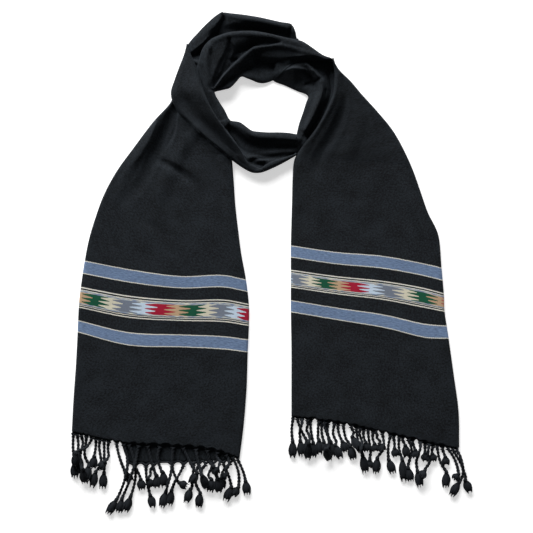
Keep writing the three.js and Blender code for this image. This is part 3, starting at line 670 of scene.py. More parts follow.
def edges_at(rows, shares):
    """Each section's two edges as x, y, z, and its bends."""
    a = curve_through([[r["ax"], r["ay"], r["az"]] for r in rows], shares)
    b = curve_through([[r["bx"], r["by"], r["bz"]] for r in rows], shares)
    bends = curve_through([[r["bend30"], r["bend60"], r["bend85"]] for r in rows], shares)
    return a, b, bends


def even_shares(rows, spacing):
    """Shares along a stretch that lie about the same distance apart."""
    fine = np.linspace(0, 1, FINE_SHARES)
    a, b, _ = edges_at(rows, fine)
    steps = np.maximum(np.hypot(*np.diff(a, axis=0).T[:2]), np.hypot(*np.diff(b, axis=0).T[:2]))
    run = np.concatenate([[0], np.cumsum(steps)])
    count = int(run[-1] / spacing) + 2
    return np.interp(np.linspace(0, run[-1], count), run, fine)


def hem_at(name, x):
    """A hem's place in the plan at a place across it, with its bend."""
    row = named(SECTION, SECTIONS[name][-1:])[0]
    share = (x - row["ax"]) / (row["bx"] - row["ax"])
    bends = np.array([[row["bend30"], row["bend60"], row["bend85"]]])
    return mix(row["ay"], row["by"], share) + float(bend_at(bends, np.array([[share]]))[0, 0])


# The cloth

class Laid:
    """The stretches laid so far, to find the height of what a new one lies on."""

    trees = []

    @classmethod
    def height(cls, x, y):
        down = Vector((0, 0, -1))
        found = np.zeros(x.shape)
        for index in np.ndindex(x.shape):
            start = Vector((x[index] * MM, y[index] * MM, HIGH_ABOVE))
            hits = (tree.ray_cast(start, down)[0] for tree in cls.trees)
            found[index] = max((hit.z / MM for hit in hits if hit), default=0)
        return found


def to_frame(x, y, z):
    """A place of the tables, in metres, in the frame's own coordinates."""
    return ((x - CENTRE["x"]) * MM, (y - CENTRE["y"]) * MM, z * MM)


def sheet_mesh(x, y, z, across, along, tiles, upwards):
    """A grid of cloth whose vertices are moved to x, y and z. It carries the cloth's own coordinates."""
    rows, columns = x.shape
    bm = bmesh.new()
    bmesh.ops.create_grid(bm, x_segments=columns - 1, y_segments=rows - 1, size=1)
    cloth, border = bm.loops.layers.uv.new("Cloth"), bm.loops.layers.uv.new("Border")
    place = {}
    for vertex in bm.verts:
        i = round((vertex.co.y + 1) / 2 * (rows - 1))
        j = round((vertex.co.x + 1) / 2 * (columns - 1))
        place[vertex] = (i, j)
    for vertex, index in place.items():
        vertex.co = to_frame(x[index], y[index], z[index])
    for face in bm.faces:
        face.smooth = True
        for loop in face.loops:
            index = place[loop.vert]
            loop[cloth].uv = (across[index] * MM, along[index])
            loop[border].uv = (tiles[index], along[index])
    if not upwards:
        bmesh.ops.reverse_faces(bm, faces=bm.faces)
    return bm


def cloth_object(name, bm, material, thickness):
    mesh = bpy.data.meshes.new(name)
    bm.to_mesh(mesh)
    bm.free()
    mesh.materials.append(material)
    piece = bpy.data.objects.new(name, mesh)
    bpy.context.scene.collection.objects.link(piece)
    if thickness:
        wall = piece.modifiers.new("Cloth", "SOLIDIFY")
        wall.thickness = thickness
        wall.offset = -1
    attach(piece, "root")
    return piece


def lay_stretch(name, sizes, material):
    """A stretch of folded cloth as one sheet: its underside, its rolled sides and its top."""
    shape = dict(zip(SHAPE, SHAPES[name]))
    rows = named(SECTION, SECTIONS[name])
    grid = (sizes.grid if shape["fold"] else sizes.ring_grid) / MM
    plan = Plan(rows, even_shares(rows, grid))
    if shape["fold"]:
        parts = end_parts(name, plan, shape, sizes, grid)
    else:
        parts = turn_parts(name, plan, shape, sizes, grid)
    x, y, z = (np.hstack([part[k] for part in parts]) for k in range(3))
    step = np.sqrt(np.diff(x, axis=1) ** 2 + np.diff(y, axis=1) ** 2 + np.diff(z, axis=1) ** 2)
    across = np.hstack([np.zeros((len(x), 1)), np.cumsum(step, axis=1)])
    along = plan.run()
    tiles = np.zeros_like(x)
    if shape["fold"]:
        first = BORDER_ROWS[name]
        pins = (np.arange(len(BORDER)) + first) / (len(rows) - 1)
        along = border_lengths(along, np.interp(pins, plan.shares, along))
        tiles = figure_places(name, parts, across)
    along = along[:, None] * np.ones_like(x)
    ends = [0] if shape["fold"] else [0, -1]
    x, y, z, across, along, tiles = close_ends(plan, [x, y, z, across, along, tiles], ends)
    upwards = plan.turn() * (-1 if shape["fold"] == "b" else 1) > 0
    bm = sheet_mesh(x, y, z, across, along, tiles, upwards)
    Laid.trees.append(BVHTree.FromBMesh(bm))
    return cloth_object(PIECES[name], bm, material, sizes.thickness)


class Plan:
    """A stretch's sections in the plan: places on them by their distance from edge a."""

    def __init__(self, rows, shares):
        self.shares = shares
        self.a, self.b, self.bends = edges_at(rows, shares)
        self.width = np.hypot(*(self.b - self.a).T[:2])[:, None]
        self.way = (self.b - self.a)[:, :2] / self.width
        self.middle = (self.a + self.b)[:, :2] / 2

    def at(self, distance):
        x = self.a[:, 0:1] + self.way[:, 0:1] * distance
        y = self.a[:, 1:2] + self.way[:, 1:2] * distance
        return x, y + bend_at(self.bends, distance / self.width)

    def from_edge(self, edge, inwards):
        return inwards if edge == "a" else self.width - inwards

    def level(self, distance):
        return mix(self.a[:, 2:3], self.b[:, 2:3], distance / self.width)

    def run(self):
        return np.concatenate([[0], np.cumsum(np.hypot(*np.diff(self.middle, axis=0).T))]) * MM

    def turn(self):
        ahead = np.gradient(self.middle, axis=0)
        return np.sum(self.way[:, 0] * ahead[:, 1] - self.way[:, 1] * ahead[:, 0])


def settled(level, least):
    """A height that eases onto the least height there instead of stopping short at it."""
    above = level - least
    return least + (above + np.sqrt(above**2 + EASE**2)) / 2


def top_part(name, plan, shape, sizes, grid, share_dropped):
    """The top of a stretch from edge a to edge b, with its folds and creases and its rounded edges."""
    roll = np.minimum(shape["roll"], WIDEST_ROLL * plan.width)
    angle = np.linspace(0, math.pi / 2, ROLL_STEPS)[None, :]
    rolled = roll * (1 - np.cos(angle))
    count = int(np.percentile(plan.width, USUAL_WIDTH) / grid)
    between = roll + (plan.width - 2 * roll) * np.linspace(0, 1, count + 1)[None, 1:-1]
    distance = np.hstack([rolled, between, plan.width - rolled[:, ::-1]])
    fall = (1 - np.sin(angle)) * np.ones_like(roll)
    fallen = np.hstack([fall, np.zeros_like(between), fall[:, ::-1]])
    x, y = plan.at(distance)
    level = plan.level(distance) + add_folds(FOLDS[name], x, y, False)
    level += add_folds(CREASES[name], x, y, True)
    level += sum(ripple(x, y, size, sizes.unevenness / MM / divisor) for size, divisor in RIPPLES)
    ground = Laid.height(x, y)
    level = settled(level, ground + LEAST)
    drop = share_dropped * (level - ground) if share_dropped else shape["drop"]
    return [x, y, np.maximum(level - fallen * drop, ground + LEAST / 2)]


def side_part(plan, shape, edge, high, kind):
    """A side from the surface that it lies on up to the edge of the top."""
    steps = SIDE_STEPS if kind == "fold" else SIDE_STEPS * shape["layers"]
    up = np.linspace(0, 1, steps + 1)[:-1][None, :]
    if kind == "fold":
        depth, inset = shape["roll"], 1 - np.sqrt(np.clip(1 - (1 - up) ** 2, 0, 1))
    else:
        parted = 1 - np.abs(np.sin(math.pi * shape["layers"] * up))
        depth, inset = shape["groove"], parted**LIP_POWER
    inwards = np.minimum(depth, WIDEST_LIP * plan.width) * inset
    x, y = plan.at(plan.from_edge(edge, inwards))
    base = Laid.height(*plan.at(plan.from_edge(edge, inwards[:, :1]))) + REST
    return [x, y, base + (high - base) * up]


def under_part(plan, edge, inwards):
    x, y = plan.at(plan.from_edge(edge, inwards))
    return [x, y, Laid.height(x, y) + REST]


def flipped(part):
    return [values[:, ::-1] for values in part]


def turn_parts(name, plan, shape, sizes, grid):
    """A turn of the neck ring: heaped layers whose sides show them, open only along its underside."""
    top = top_part(name, plan, shape, sizes, grid, 0)
    side_a = side_part(plan, shape, "a", top[2][:, :1], "layers")
    side_b = side_part(plan, shape, "b", top[2][:, -1:], "layers")
    inwards = np.linspace(*UNDER_TURN)[None, :] * plan.width
    under_a, under_b = under_part(plan, "a", inwards), under_part(plan, "b", inwards)
    return [under_a, side_a, top, flipped(side_b), flipped(under_b)]


def end_parts(name, plan, shape, sizes, grid):
    """A hanging end folded double: the lower layer to the fold, then the upper layer to its open edge."""
    top = top_part(name, plan, shape, sizes, grid, END_DROP)
    fold = shape["fold"]
    edge_height = top[2][:, -1:] if fold == "b" else top[2][:, :1]
    side = side_part(plan, shape, fold, edge_height, "fold")
    lower_plan = Plan(lower_rows(name), plan.shares)
    reach = np.linspace(1, 0, LOWER_STEPS + 1)[None, :-1]
    roll = shape["roll"]
    inwards = roll + (lower_plan.width - roll - SELVEDGE_STEP) * reach
    lower = under_part(lower_plan, fold, inwards)
    draw_up(lower, name, plan.shares, LOWER_FRINGE[name], sizes)
    draw_up(top, name, plan.shares, UPPER_FRINGE[name], sizes)
    return [lower, side, flipped(top) if fold == "b" else top]


def lower_rows(name):
    """The lower layer's sections: the upper layer's, and on the left end its own towards the hem."""
    rows = named(SECTION, SECTIONS[name])
    for index, (ax, ay, bx, by, bend_kept) in LOWER.get(name, {}).items():
        row = rows[index]
        row.update(ax=ax, ay=ay, bx=bx, by=by)
        for bend in ("bend30", "bend60", "bend85"):
            row[bend] *= bend_kept
    return rows


def draw_up(part, name, shares, fringe, sizes):
    """Draws a hem up between the tassels that pull it down."""
    near_hem = np.clip(1 - (1 - shares) * (len(SECTIONS[name]) - 1) * SCALLOP_FADE, 0, 1)[:, None]
    part[1] = part[1] + near_hem * scallop(part[0], fringe, sizes.scallop / MM)


def scallop(x, fringe, depth):
    roots = np.array([row[0] for row in TASSELS[fringe]], float)
    near = np.min(np.abs(np.asarray(x, float)[..., None] - roots), axis=-1)
    return depth * (1 - np.exp(-((near / SCALLOP_HALF) ** 2)))


def border_lengths(run, at_pins):
    """The cloth's own length from the top of the figured band, with the border's sections pinned."""
    inside = np.interp(run, at_pins, BORDER)
    before, after = BORDER[0] - (at_pins[0] - run), BORDER[-1] + (run - at_pins[-1])
    return np.where(run < at_pins[0], before, np.where(run > at_pins[-1], after, inside))


def figure_places(name, parts, across):
    """Where the cloth is in the row of figures: by share on the upper layer, by length past the fold."""
    columns = sum(part[0].shape[1] for part in parts[:-1])
    upper = across[:, columns:] - across[:, columns : columns + 1]
    share = upper / upper[:, -1:]
    shares, figures = zip(*FIGURES[name])
    tiles = np.empty_like(across)
    tiles[:, columns:] = np.interp(share, shares, figures)
    past = across[:, columns : columns + 1] - across[:, :columns]
    tiles[:, :columns] = figures[0] + past / FIGURE_SPACING
    return tiles


def close_ends(plan, arrays, ends):
    """Rounds off the first or last section, so that the sheet closes over its end."""
    for end in ends:
        x, y, z = (values[end] for values in arrays[:3])
        sign = np.sign(plan.turn()) * (-1 if end == 0 else 1)
        square = np.array([-plan.way[end, 1], plan.way[end, 0]]) * sign
        along = (x - plan.a[end, 0]) * plan.way[end, 0] + (y - plan.a[end, 1]) * plan.way[end, 1]
        share = np.clip(along / plan.width[end, 0], 0, 1)
        middle = 0.5 * (mix(plan.a[end, 2], plan.b[end, 2], share) + z.min())
        for angle in np.radians(END_ANGLES):
            out = END_ROUND * math.sin(angle)
            ring = [x + square[0] * out, y + square[1] * out, middle + (z - middle) * math.cos(angle)]
            ring += [values[end] for values in arrays[3:]]
            place = 0 if end == 0 else len(arrays[0])
            arrays = [np.insert(values, place, row, axis=0) for values, row in zip(arrays, ring)]
    return arrays


# The fringe

def ground_at(under, x, y):
    """The top of what a strand lies on: the lower layer or its strip near the hem, or nothing."""
    row = named(SECTION, SECTIONS[under][-1:])[0]
    beside = row["ax"] - PAST_HEM < x < row["bx"] + PAST_HEM
    return FLAP + GAP if beside and y > hem_at(under, x) - PAST_HEM else 0


def strand_path(row, fringe):
    """The middle of a strand: rows of x, y, z and radius at STATIONS."""
    strip = hem_at(fringe["hem"], row["root"]) - GAP - fringe["width"]
    start = np.array([row["root"], strip + ROOTED])
    knot = start + [row["drift"], -row["reach"]]
    tip = knot + [row["swing"], -row["tuft"]]
    path = []
    for share, radius in STATIONS:
        point = mix(mix(start, knot, min(share, 1)), tip, max(share - 1, 0))
        x = point[0] + row["bow"] * math.sin(math.pi * min(share, 1))
        ground = ground_at(fringe["under"], x, point[1]) if fringe["under"] else 0
        low = ground + GAP + FLAT * radius
        rise = fringe["base"] + 0.5 * STRIP_HEIGHT
        path.append([x, point[1], max(rise, low) if share == 0 else low, radius])
    return np.array(path)


def nearest_in_plan(p, q, r, s):
    """How near two straight steps of the plan come, and where along each."""
    d1x, d1y, d2x, d2y = q[0] - p[0], q[1] - p[1], s[0] - r[0], s[1] - r[1]
    wx, wy = p[0] - r[0], p[1] - r[1]
    a, e, b = d1x**2 + d1y**2, d2x**2 + d2y**2, d1x * d2x + d1y * d2y
    c, f = d1x * wx + d1y * wy, d2x * wx + d2y * wy
    flat = a * e - b * b
    u = clamp((b * f - c * e) / flat) if flat > PARALLEL else 0.0
    v = clamp((b * u + f) / e)
    u = clamp((b * v - c) / a)
    ax, ay = wx + u * d1x - v * d2x, wy + u * d1y - v * d2y
    return u, v, ax, ay, math.hypot(ax, ay)


def make_room(path, laid):
    """Moves a strand aside where it lies nearly clear of another, and lifts it where it crosses it."""
    steps = len(path) - 1
    for _ in range(PASSES):
        for other in laid:
            if abs(path[0][0] - other[0][0]) > FAR and abs(path[-1][0] - other[-1][0]) > FAR:
                continue
            for i in range(steps):
                for j in range(steps):
                    clear_step(path, other, i, j)
    return path


def clear_step(path, other, i, j):
    p, q, r, s = path[i], path[i + 1], other[j], other[j + 1]
    if abs(p[0] - r[0]) + abs(p[1] - r[1]) > FAR:
        return
    u, v, ax, ay, distance = nearest_in_plan(p, q, r, s)
    room = mix(p[3], q[3], u) + mix(r[3], s[3], v) + CLEAR
    needed = mix(r[2], s[2], v) + FLAT * math.sqrt(max(room**2 - distance**2, 0))
    short = needed - mix(p[2], q[2], u)
    if distance >= room or short <= 0 or (i == 0 and u < FIRST):
        return
    for point in [p, q] if i > 0 else [q]:
        if distance > ASIDE * room:
            point[0] += ax * (room - distance) / distance
            point[1] += ay * (room - distance) / distance
        else:
            point[2] += short


def rough_strand(path):
    """A strand as a four-sided tube, to test whether it touches another."""
    corners = []
    for i, (x, y, z, radius) in enumerate(path):
        ahead = path[min(i + 1, len(path) - 1)] - path[max(i - 1, 0)]
        sx, sy = np.array([-ahead[1], ahead[0]]) / math.hypot(*ahead[:2]) * radius
        rise = FLAT * radius
        corners += [(x + sx, y + sy, z), (x, y, z + rise), (x - sx, y - sy, z), (x, y, z - rise)]
    faces = []
    for i in range(len(path) - 1):
        for j in range(4):
            faces.append((4 * i + j, 4 * i + (j + 1) % 4, 4 * i + 4 + (j + 1) % 4, 4 * i + 4 + j))
    return BVHTree.FromPolygons(corners, faces)


def lay_strands():
    """Every fringe's strands, lowest fringe first, as paths in the order that they are laid."""
    paths, trees, fringes = [], [], {}
    for fringe in named(FRINGE, FRINGES):
        own = []
        for row in named(TASSEL, TASSELS[fringe["name"]]):
            path = make_room(strand_path(row, fringe), paths)
            tree = rough_strand(path)
            for _ in range(MOST_LIFTS):
                if not any(tree.overlap(other) for other in trees):
                    break
                path[1:, 2] += LIFT
                tree = rough_strand(path)
            paths.append(path)
            trees.append(tree)
            own.append(path)
        fringes[fringe["name"]] = own
    return fringes


def tube(bm, centres, radii, sides, lobes=None, flat=1.0):
    """A closed tube made of a grid that is wrapped round its middle line.

    lobes(i, angle) scales the radius, which twists the yarns of a cord round each other."""
    rings = len(centres)
    made = bmesh.ops.create_grid(bm, x_segments=sides, y_segments=rings + 1, size=1)["verts"]
    ahead = np.gradient(centres, axis=0)
    aside = np.column_stack([-ahead[:, 1], ahead[:, 0], np.zeros(rings)])
    aside /= np.maximum(np.linalg.norm(aside, axis=1), 1e-9)[:, None]
    above = np.cross(ahead, aside)
    above /= np.maximum(np.linalg.norm(above, axis=1), 1e-9)[:, None]
    yarn = bm.loops.layers.uv.verify()
    run = np.concatenate([[0], np.cumsum(np.linalg.norm(np.diff(centres, axis=0), axis=1))])
    for vertex in made:
        i = round((vertex.co.y + 1) / 2 * (rings + 1))
        turn = (vertex.co.x + 1) / 2
        ring = min(max(i - 1, 0), rings - 1)
        angle = -2 * math.pi * turn
        radius = radii[ring] * (lobes(ring, angle) if lobes else 1)
        if i in (0, rings + 1):
            radius = 0
        offset = aside[ring] * math.cos(angle) + above[ring] * math.sin(angle) * flat
        x, y, z = centres[ring] + offset * radius
        vertex.co = to_frame(x, y, max(z, 0))
        for loop in vertex.link_loops:
            loop[yarn].uv = (turn, run[ring] * MM)
    return made


def smooth_path(path, shares):
    """A strand's middle line and radius at shares along it, where 1 is its knot and 2 its tip."""
    stations = [share for share, _ in STATIONS]
    places = np.interp(shares, stations, np.linspace(0, 1, len(stations)))
    return curve_through(path, places)


def add_cord(bm, path, sizes):
    """Two yarns twisted into a cord, flared where it leaves the cloth."""
    length = np.hypot(*(path[5] - path[0])[:2])
    rings = max(int(length / (sizes.cord_ring / MM)), FEWEST_RINGS)
    shares = np.linspace(0, CORD_END, rings)
    line = smooth_path(path, shares)
    run = shares * length
    flare = 1 + FLARE * np.exp(-run / FLARE_LENGTH)
    thin = 1 - WAVER * np.sin(run / WAVER_LENGTH)
    pitch = sizes.twist / MM

    def lobes(i, angle):
        return 0.6 + 0.46 * abs(math.cos(angle - math.pi * run[i] / pitch))

    tube(bm, line[:, :3], FULL_CORD * flare * thin, CORD_SIDES, lobes, FLAT)


def add_knot(bm, path, chance):
    """The knot: two tight wraps that slant round the cord."""
    line = smooth_path(path, np.linspace(*KNOT_SPAN, KNOT_RINGS))
    bulge = np.sin(np.linspace(0.12, 0.94, KNOT_RINGS) * math.pi) ** 0.6
    slant = chance.uniform(-0.6, 0.6)

    def lobes(i, angle):
        turned = WRAP_TURN * (i - KNOT_RINGS // 2) + slant
        return 0.93 + 0.12 * math.cos(turned + math.cos(angle))

    tube(bm, line[:, :3], KNOT_END + (KNOT - KNOT_END) * bulge, KNOT_SIDES, lobes, FLAT)


def add_tuft(bm, path, chance, sizes):
    """The cut ends: a soft core, and loose yarns that part into two or three points."""
    knot, tip = smooth_path(path, np.array([TUFT_START, 2.0]))
    ahead = (tip - knot)[:3]
    length = np.linalg.norm(ahead)
    aside = np.array([-ahead[1], ahead[0], 0]) / max(np.hypot(*ahead[:2]), 1e-6)
    shares = np.linspace(0, CORE_LENGTH, CORE_RINGS)
    spread = 0.34 + 0.66 * np.sin(shares * 0.95 * math.pi)
    core = knot[:3] + ahead * shares[:, None]

    def lobes(i, angle):
        return 0.92 + 0.1 * math.cos(5 * angle + i)

    tube(bm, core, FULL_HEAD * CORE_WIDTH * spread, CORE_SIDES, lobes, FLAT)
    points = chance.choice([2, 3, 3])
    yarns = sizes.yarns
    for k in range(yarns):
        place = 2 * (k + chance.uniform(0.1, 0.9)) / yarns - 1
        up = math.sqrt(max(1 - place**2, 0)) * chance.choice([-1, 0.6, 1]) * chance.uniform(0.7, 1)
        clump = round((place + 1) * points / 2 - 0.5) + 0.5
        pull = 2 * clump / points - 1 - place
        reach = length * (chance.uniform(0.9, 1.08) - 0.2 * min(abs(pull) * points, 1) ** 1.5)
        steps = np.linspace(0, 1, len(YARN_TAPER))
        width = FULL_HEAD * (0.3 + 0.75 * np.sin(steps * 0.74 * math.pi))
        width *= place + 0.5 * pull * steps**2
        height = HEAD * FLAT * up * (0.25 + 0.75 * np.sin(steps * 0.62 * math.pi))
        bow = chance.uniform(-0.5, 0.5)
        yarn = knot[:3] + ahead / length * reach * steps[:, None]
        yarn += aside * (width + bow * steps**3)[:, None]
        yarn[:, 2] = np.maximum(yarn[:, 2] + height, sizes.yarn / MM + YARN_LIFT)
        tube(bm, yarn, sizes.yarn / MM * np.array(YARN_TAPER), YARN_SIDES)


def add_strip(bm, fringe, sizes):
    """The woven edge that the tassels hang on: it draws up between them."""
    x = np.arange(fringe["from"], fringe["to"], STRIP_STEP)
    y = np.array([hem_at(fringe["hem"], value) for value in x]) + UNDER_HEM
    drawn = scallop(x, fringe["name"], 1.0)
    y += drawn * sizes.scallop / MM
    width = UNDER_HEM + fringe["width"] * (1 - STRIP_DRAW * drawn)
    line = np.column_stack([x, y - width / 2, np.full_like(x, fringe["base"] + STRIP_HEIGHT / 2)])
    tube(bm, line, width / 2, STRIP_SIDES, None, STRIP_HEIGHT / fringe["width"])


def make_fringe(fringe, paths, sizes, cloth_sizes, material):
    bm = bmesh.new()
    bm.loops.layers.uv.new("Cloth")
    chance = random.Random(fringe["name"])
    add_strip(bm, fringe, cloth_sizes)
    for path in paths:
        add_cord(bm, path, sizes)
        add_knot(bm, path, chance)
        add_tuft(bm, path, chance, sizes)
    bmesh.ops.remove_doubles(bm, verts=bm.verts, dist=1e-7)
    bmesh.ops.recalc_face_normals(bm, faces=bm.faces)
    for face in bm.faces:
        face.smooth = True
    return cloth_object(PIECES[fringe["name"]], bm, material, 0)


# Materials

STREAKS = (4.0, 700.0)  # how often the stripes' threads change shade, across the cloth and along it
BAND_STREAKS = (2.2, 650.0)  # the same for the band's ground
WOBBLE = 0.0012  # how far the woven lines waver
BUMP_STRENGTH = 0.5
WOOL_BUMP = 0.0004
YARN_BUMP = 0.0005
SHADE_PARTS = {"nap": 0.75, "slow": 0.25, "twill": 0.08}  # what the wool's shade is made up of
YARN_PARTS = {"fibre": 0.6, "slow": 0.4}


class Graph:
    """A new material, and short ways to add its nodes. Values are numbers or other nodes' outputs."""

    def __init__(self, name):
        self.material = bpy.data.materials.new(name)
        self.material.use_nodes = True
        self.nodes = self.material.node_tree.nodes
        self.links = self.material.node_tree.links
        self.shader = self.nodes["Principled BSDF"]

    def put(self, socket, value):
        """Gives a socket another node's output, a number or a colour."""
        if isinstance(value, bpy.types.NodeSocket):
            self.links.new(value, socket)
        elif isinstance(value, (int, float)):
            socket.default_value = value
        else:
            socket.default_value = (*value[:3], 1)

    def set_shader(self, settings):
        for name, value in settings.items():
            self.put(self.shader.inputs[name], value)

    def calc(self, operation, *values):
        node = self.nodes.new("ShaderNodeMath")
        node.operation = operation
        for socket, value in zip(node.inputs, values):
            self.put(socket, value)
        return node.outputs[0]

    def plus(self, a, b):
        return self.calc("ADD", a, b)

    def minus(self, a, b):
        return self.calc("SUBTRACT", a, b)

    def times(self, a, b):
        return self.calc("MULTIPLY", a, b)

    def within(self, value, low, high):
        """1 where a value lies between low and high."""
        return self.calc("COMPARE", value, (low + high) / 2, (high - low) / 2)

    def blend(self, share, below, above, kind="MIX"):
        """Two colours mixed: above shows where share is 1."""
        node = self.nodes.new("ShaderNodeMix")
        node.data_type = "RGBA"
        node.blend_type = kind
        for index, value in ((0, share), (6, below), (7, above)):
            self.put(node.inputs[index], value)
        return node.outputs[2]

    def ramp(self, value, stops, interpolation="LINEAR"):
        """A colour ramp through (place, colour or grey) stops."""
        node = self.nodes.new("ShaderNodeValToRGB")
        node.color_ramp.interpolation = interpolation
        elements = node.color_ramp.elements
        for _ in range(len(stops) - 2):
            elements.new(0.5)
        for element, (place, _) in zip(elements, stops):
            element.position = place
        for element, (_, colour) in zip(elements, stops):
            grey = isinstance(colour, (int, float))
            element.color = (colour, colour, colour, 1) if grey else (*colour[:3], 1)
        self.links.new(value, node.inputs[0])
        return node.outputs[0]

    def shades(self, value, colour, *stops):
        """Darker and lighter shades of a colour, through (place, share of the colour) stops."""
        return self.ramp(value, [(place, tuple(share * c for c in colour)) for place, share in stops])

    def noise(self, vector, **settings):
        node = self.nodes.new("ShaderNodeTexNoise")
        self.links.new(vector, node.inputs["Vector"])
        for key, value in settings.items():
            node.inputs[key.title()].default_value = value
        return node.outputs[0]

    def streaks(self, across, along, long, fine):
        """Grey streaks that run across the cloth, as threads of slightly unlike colour do."""
        place = self.nodes.new("ShaderNodeCombineXYZ")
        self.links.new(self.times(across, long), place.inputs[0])
        self.links.new(self.times(along, fine), place.inputs[1])
        return self.noise(place.outputs[0], scale=1.0, detail=2.0)

    def uv(self, name):
        node = self.nodes.new("ShaderNodeUVMap")
        node.uv_map = name
        return node.outputs[0]

    def own_place(self):
        return self.nodes.new("ShaderNodeTexCoord").outputs["Object"]

    def split(self, vector):
        node = self.nodes.new("ShaderNodeSeparateXYZ")
        self.links.new(vector, node.inputs[0])
        return node.outputs[0], node.outputs[1]

    def bump(self, height, distance):
        node = self.nodes.new("ShaderNodeBump")
        node.inputs["Strength"].default_value = BUMP_STRENGTH
        node.inputs["Distance"].default_value = distance
        self.links.new(height, node.inputs["Height"])
        self.links.new(node.outputs[0], self.shader.inputs["Normal"])


def set_wool(graph, colours):
    graph.set_shader({
        "Roughness": 0.92,
        "Specular IOR Level": 0.18,
        "Sheen Weight": colours.sheen,
        "Sheen Roughness": 0.45,
        "Sheen Tint": colours.nap,
    })


def figured_band(graph, along, tile, colours):
    """The row of jagged figures: dark ones with fingers that reach into the light ones between them."""
    height = graph.calc("DIVIDE", graph.minus(along, BAND[0]), BAND[1] - BAND[0])
    half = graph.calc("FLOOR", graph.calc("DIVIDE", tile, 2.0))
    offset = graph.minus(graph.minus(tile, graph.times(half, 2.0)), 1.0)
    left = graph.ramp(height, FINGERS["left"])
    right = graph.ramp(height, FINGERS["right"])
    side = graph.calc("GREATER_THAN", offset, 0.0)
    reach = graph.plus(graph.times(right, side), graph.times(left, graph.minus(1.0, side)))
    dark = graph.calc("LESS_THAN", graph.calc("ABSOLUTE", offset), reach)

    def of_three(index, three):
        share = graph.calc("FLOORED_MODULO", index, 3.0)
        share = graph.calc("DIVIDE", graph.plus(share, 0.5), 3.0)
        return graph.ramp(share, list(zip((0, 1 / 3, 2 / 3), three)), "CONSTANT")

    darks = of_three(half, (colours.green, colours.slate, colours.red))
    nearest = graph.calc("FLOOR", graph.calc("DIVIDE", graph.plus(tile, 1.0), 2.0))
    lights = of_three(nearest, (colours.tan, colours.cream, colours.ice))
    figures = graph.blend(dark, lights, darks)
    threads = graph.streaks(tile, along, *BAND_STREAKS)
    ground = graph.ramp(threads, [(0.36, colours.blue), (0.5, colours.ground), (0.64, colours.cream)])
    return graph.blend(graph.within(along, *BAND), ground, figures)


def border_colour(graph, uv, colours, wool):
    """The border's stripes, lines and figured band over the plain wool."""
    tile, along = graph.split(uv)
    wobble = graph.noise(uv, scale=9.0, detail=1.0)
    along = graph.plus(along, graph.times(graph.minus(wobble, 0.5), WOBBLE))
    colour = wool
    threads = graph.streaks(tile, along, *STREAKS)
    blue = graph.shades(threads, colours.blue, (0.3, 0.72), (0.7, 1.3))
    for low, high in STRIPES:
        colour = graph.blend(graph.within(along, low, high), colour, blue)
    figures = figured_band(graph, along, tile, colours)
    colour = graph.blend(graph.within(along, *BAND_LINES), colour, figures)
    for place, half in BLACK_LINES:
        colour = graph.blend(graph.within(along, place - half, place + half), colour, wool)
    beads = graph.calc("SINE", graph.times(tile, BEADS))
    beads = graph.plus(graph.times(beads, 0.25), 0.75)
    for place, half in CREAM_LINES:
        line = graph.times(graph.within(along, place - half, place + half), beads)
        colour = graph.blend(line, colour, colours.thread)
    return colour


def wool_cloth(name, colours, cloth_sizes, bordered):
    """Fine black twill with a soft nap, and the woven border where the cloth has one."""
    graph = Graph(name)
    uv = graph.uv("Cloth")
    across, along = graph.split(uv)
    ridge = graph.times(graph.plus(across, along), math.tau / cloth_sizes.twill)
    twill = graph.times(graph.plus(graph.calc("SINE", ridge), 1.0), 0.5)
    nap = graph.noise(uv, scale=330.0, detail=3.0, roughness=0.75)
    slow = graph.noise(uv, scale=28.0, detail=3.0, roughness=0.6)
    shade = graph.plus(graph.times(nap, SHADE_PARTS["nap"]), graph.times(slow, SHADE_PARTS["slow"]))
    shade = graph.plus(shade, graph.times(twill, SHADE_PARTS["twill"]))
    colour = graph.shades(shade, colours.wool, (0.41, 0.2), (0.65, 2.0))
    if bordered:
        colour = border_colour(graph, graph.uv("Border"), colours, colour)
        worn = graph.plus(graph.times(nap, 0.5), 0.74)
        colour = graph.blend(1, colour, worn, "MULTIPLY")
    graph.set_shader({"Base Color": colour})
    set_wool(graph, colours)
    graph.bump(graph.plus(twill, nap), WOOL_BUMP)
    return graph.material


def fringe_yarn(colours):
    """Loose wool yarn: the same black, a little dustier, with hairy fibres."""
    graph = Graph("Fringe yarn")
    place = graph.own_place()
    fibre = graph.noise(place, scale=900.0, detail=2.0, roughness=0.6)
    slow = graph.noise(place, scale=60.0, detail=2.0)
    shade = graph.plus(graph.times(fibre, YARN_PARTS["fibre"]), graph.times(slow, YARN_PARTS["slow"]))
    graph.set_shader({"Base Color": graph.shades(shade, colours.yarn, (0.3, 0.7), (0.75, 1.5))})
    set_wool(graph, colours)
    graph.bump(fibre, YARN_BUMP)
    return graph.material


# What a user may change

def shade(code):
    """A colour from its six-figure code, in the linear values that shaders take."""
    parts = [int(code[i : i + 2], 16) / 255 for i in (0, 2, 4)]
    return tuple(((part + 0.055) / 1.055) ** 2.4 for part in parts)


def colour_property(label, description, code):
    return bpy.props.FloatVectorProperty(
        name=label, description=description, subtype="COLOR", size=3, min=0, max=1, default=shade(code)
    )


def number_property(label, description, default, low, high, **settings):
    return bpy.props.FloatProperty(
        name=label, description=description, default=default, min=low, max=high, **settings
    )


def length_property(label, description, default, low, high):
    return number_property(label, description, default, low, high, precision=5, unit="LENGTH")


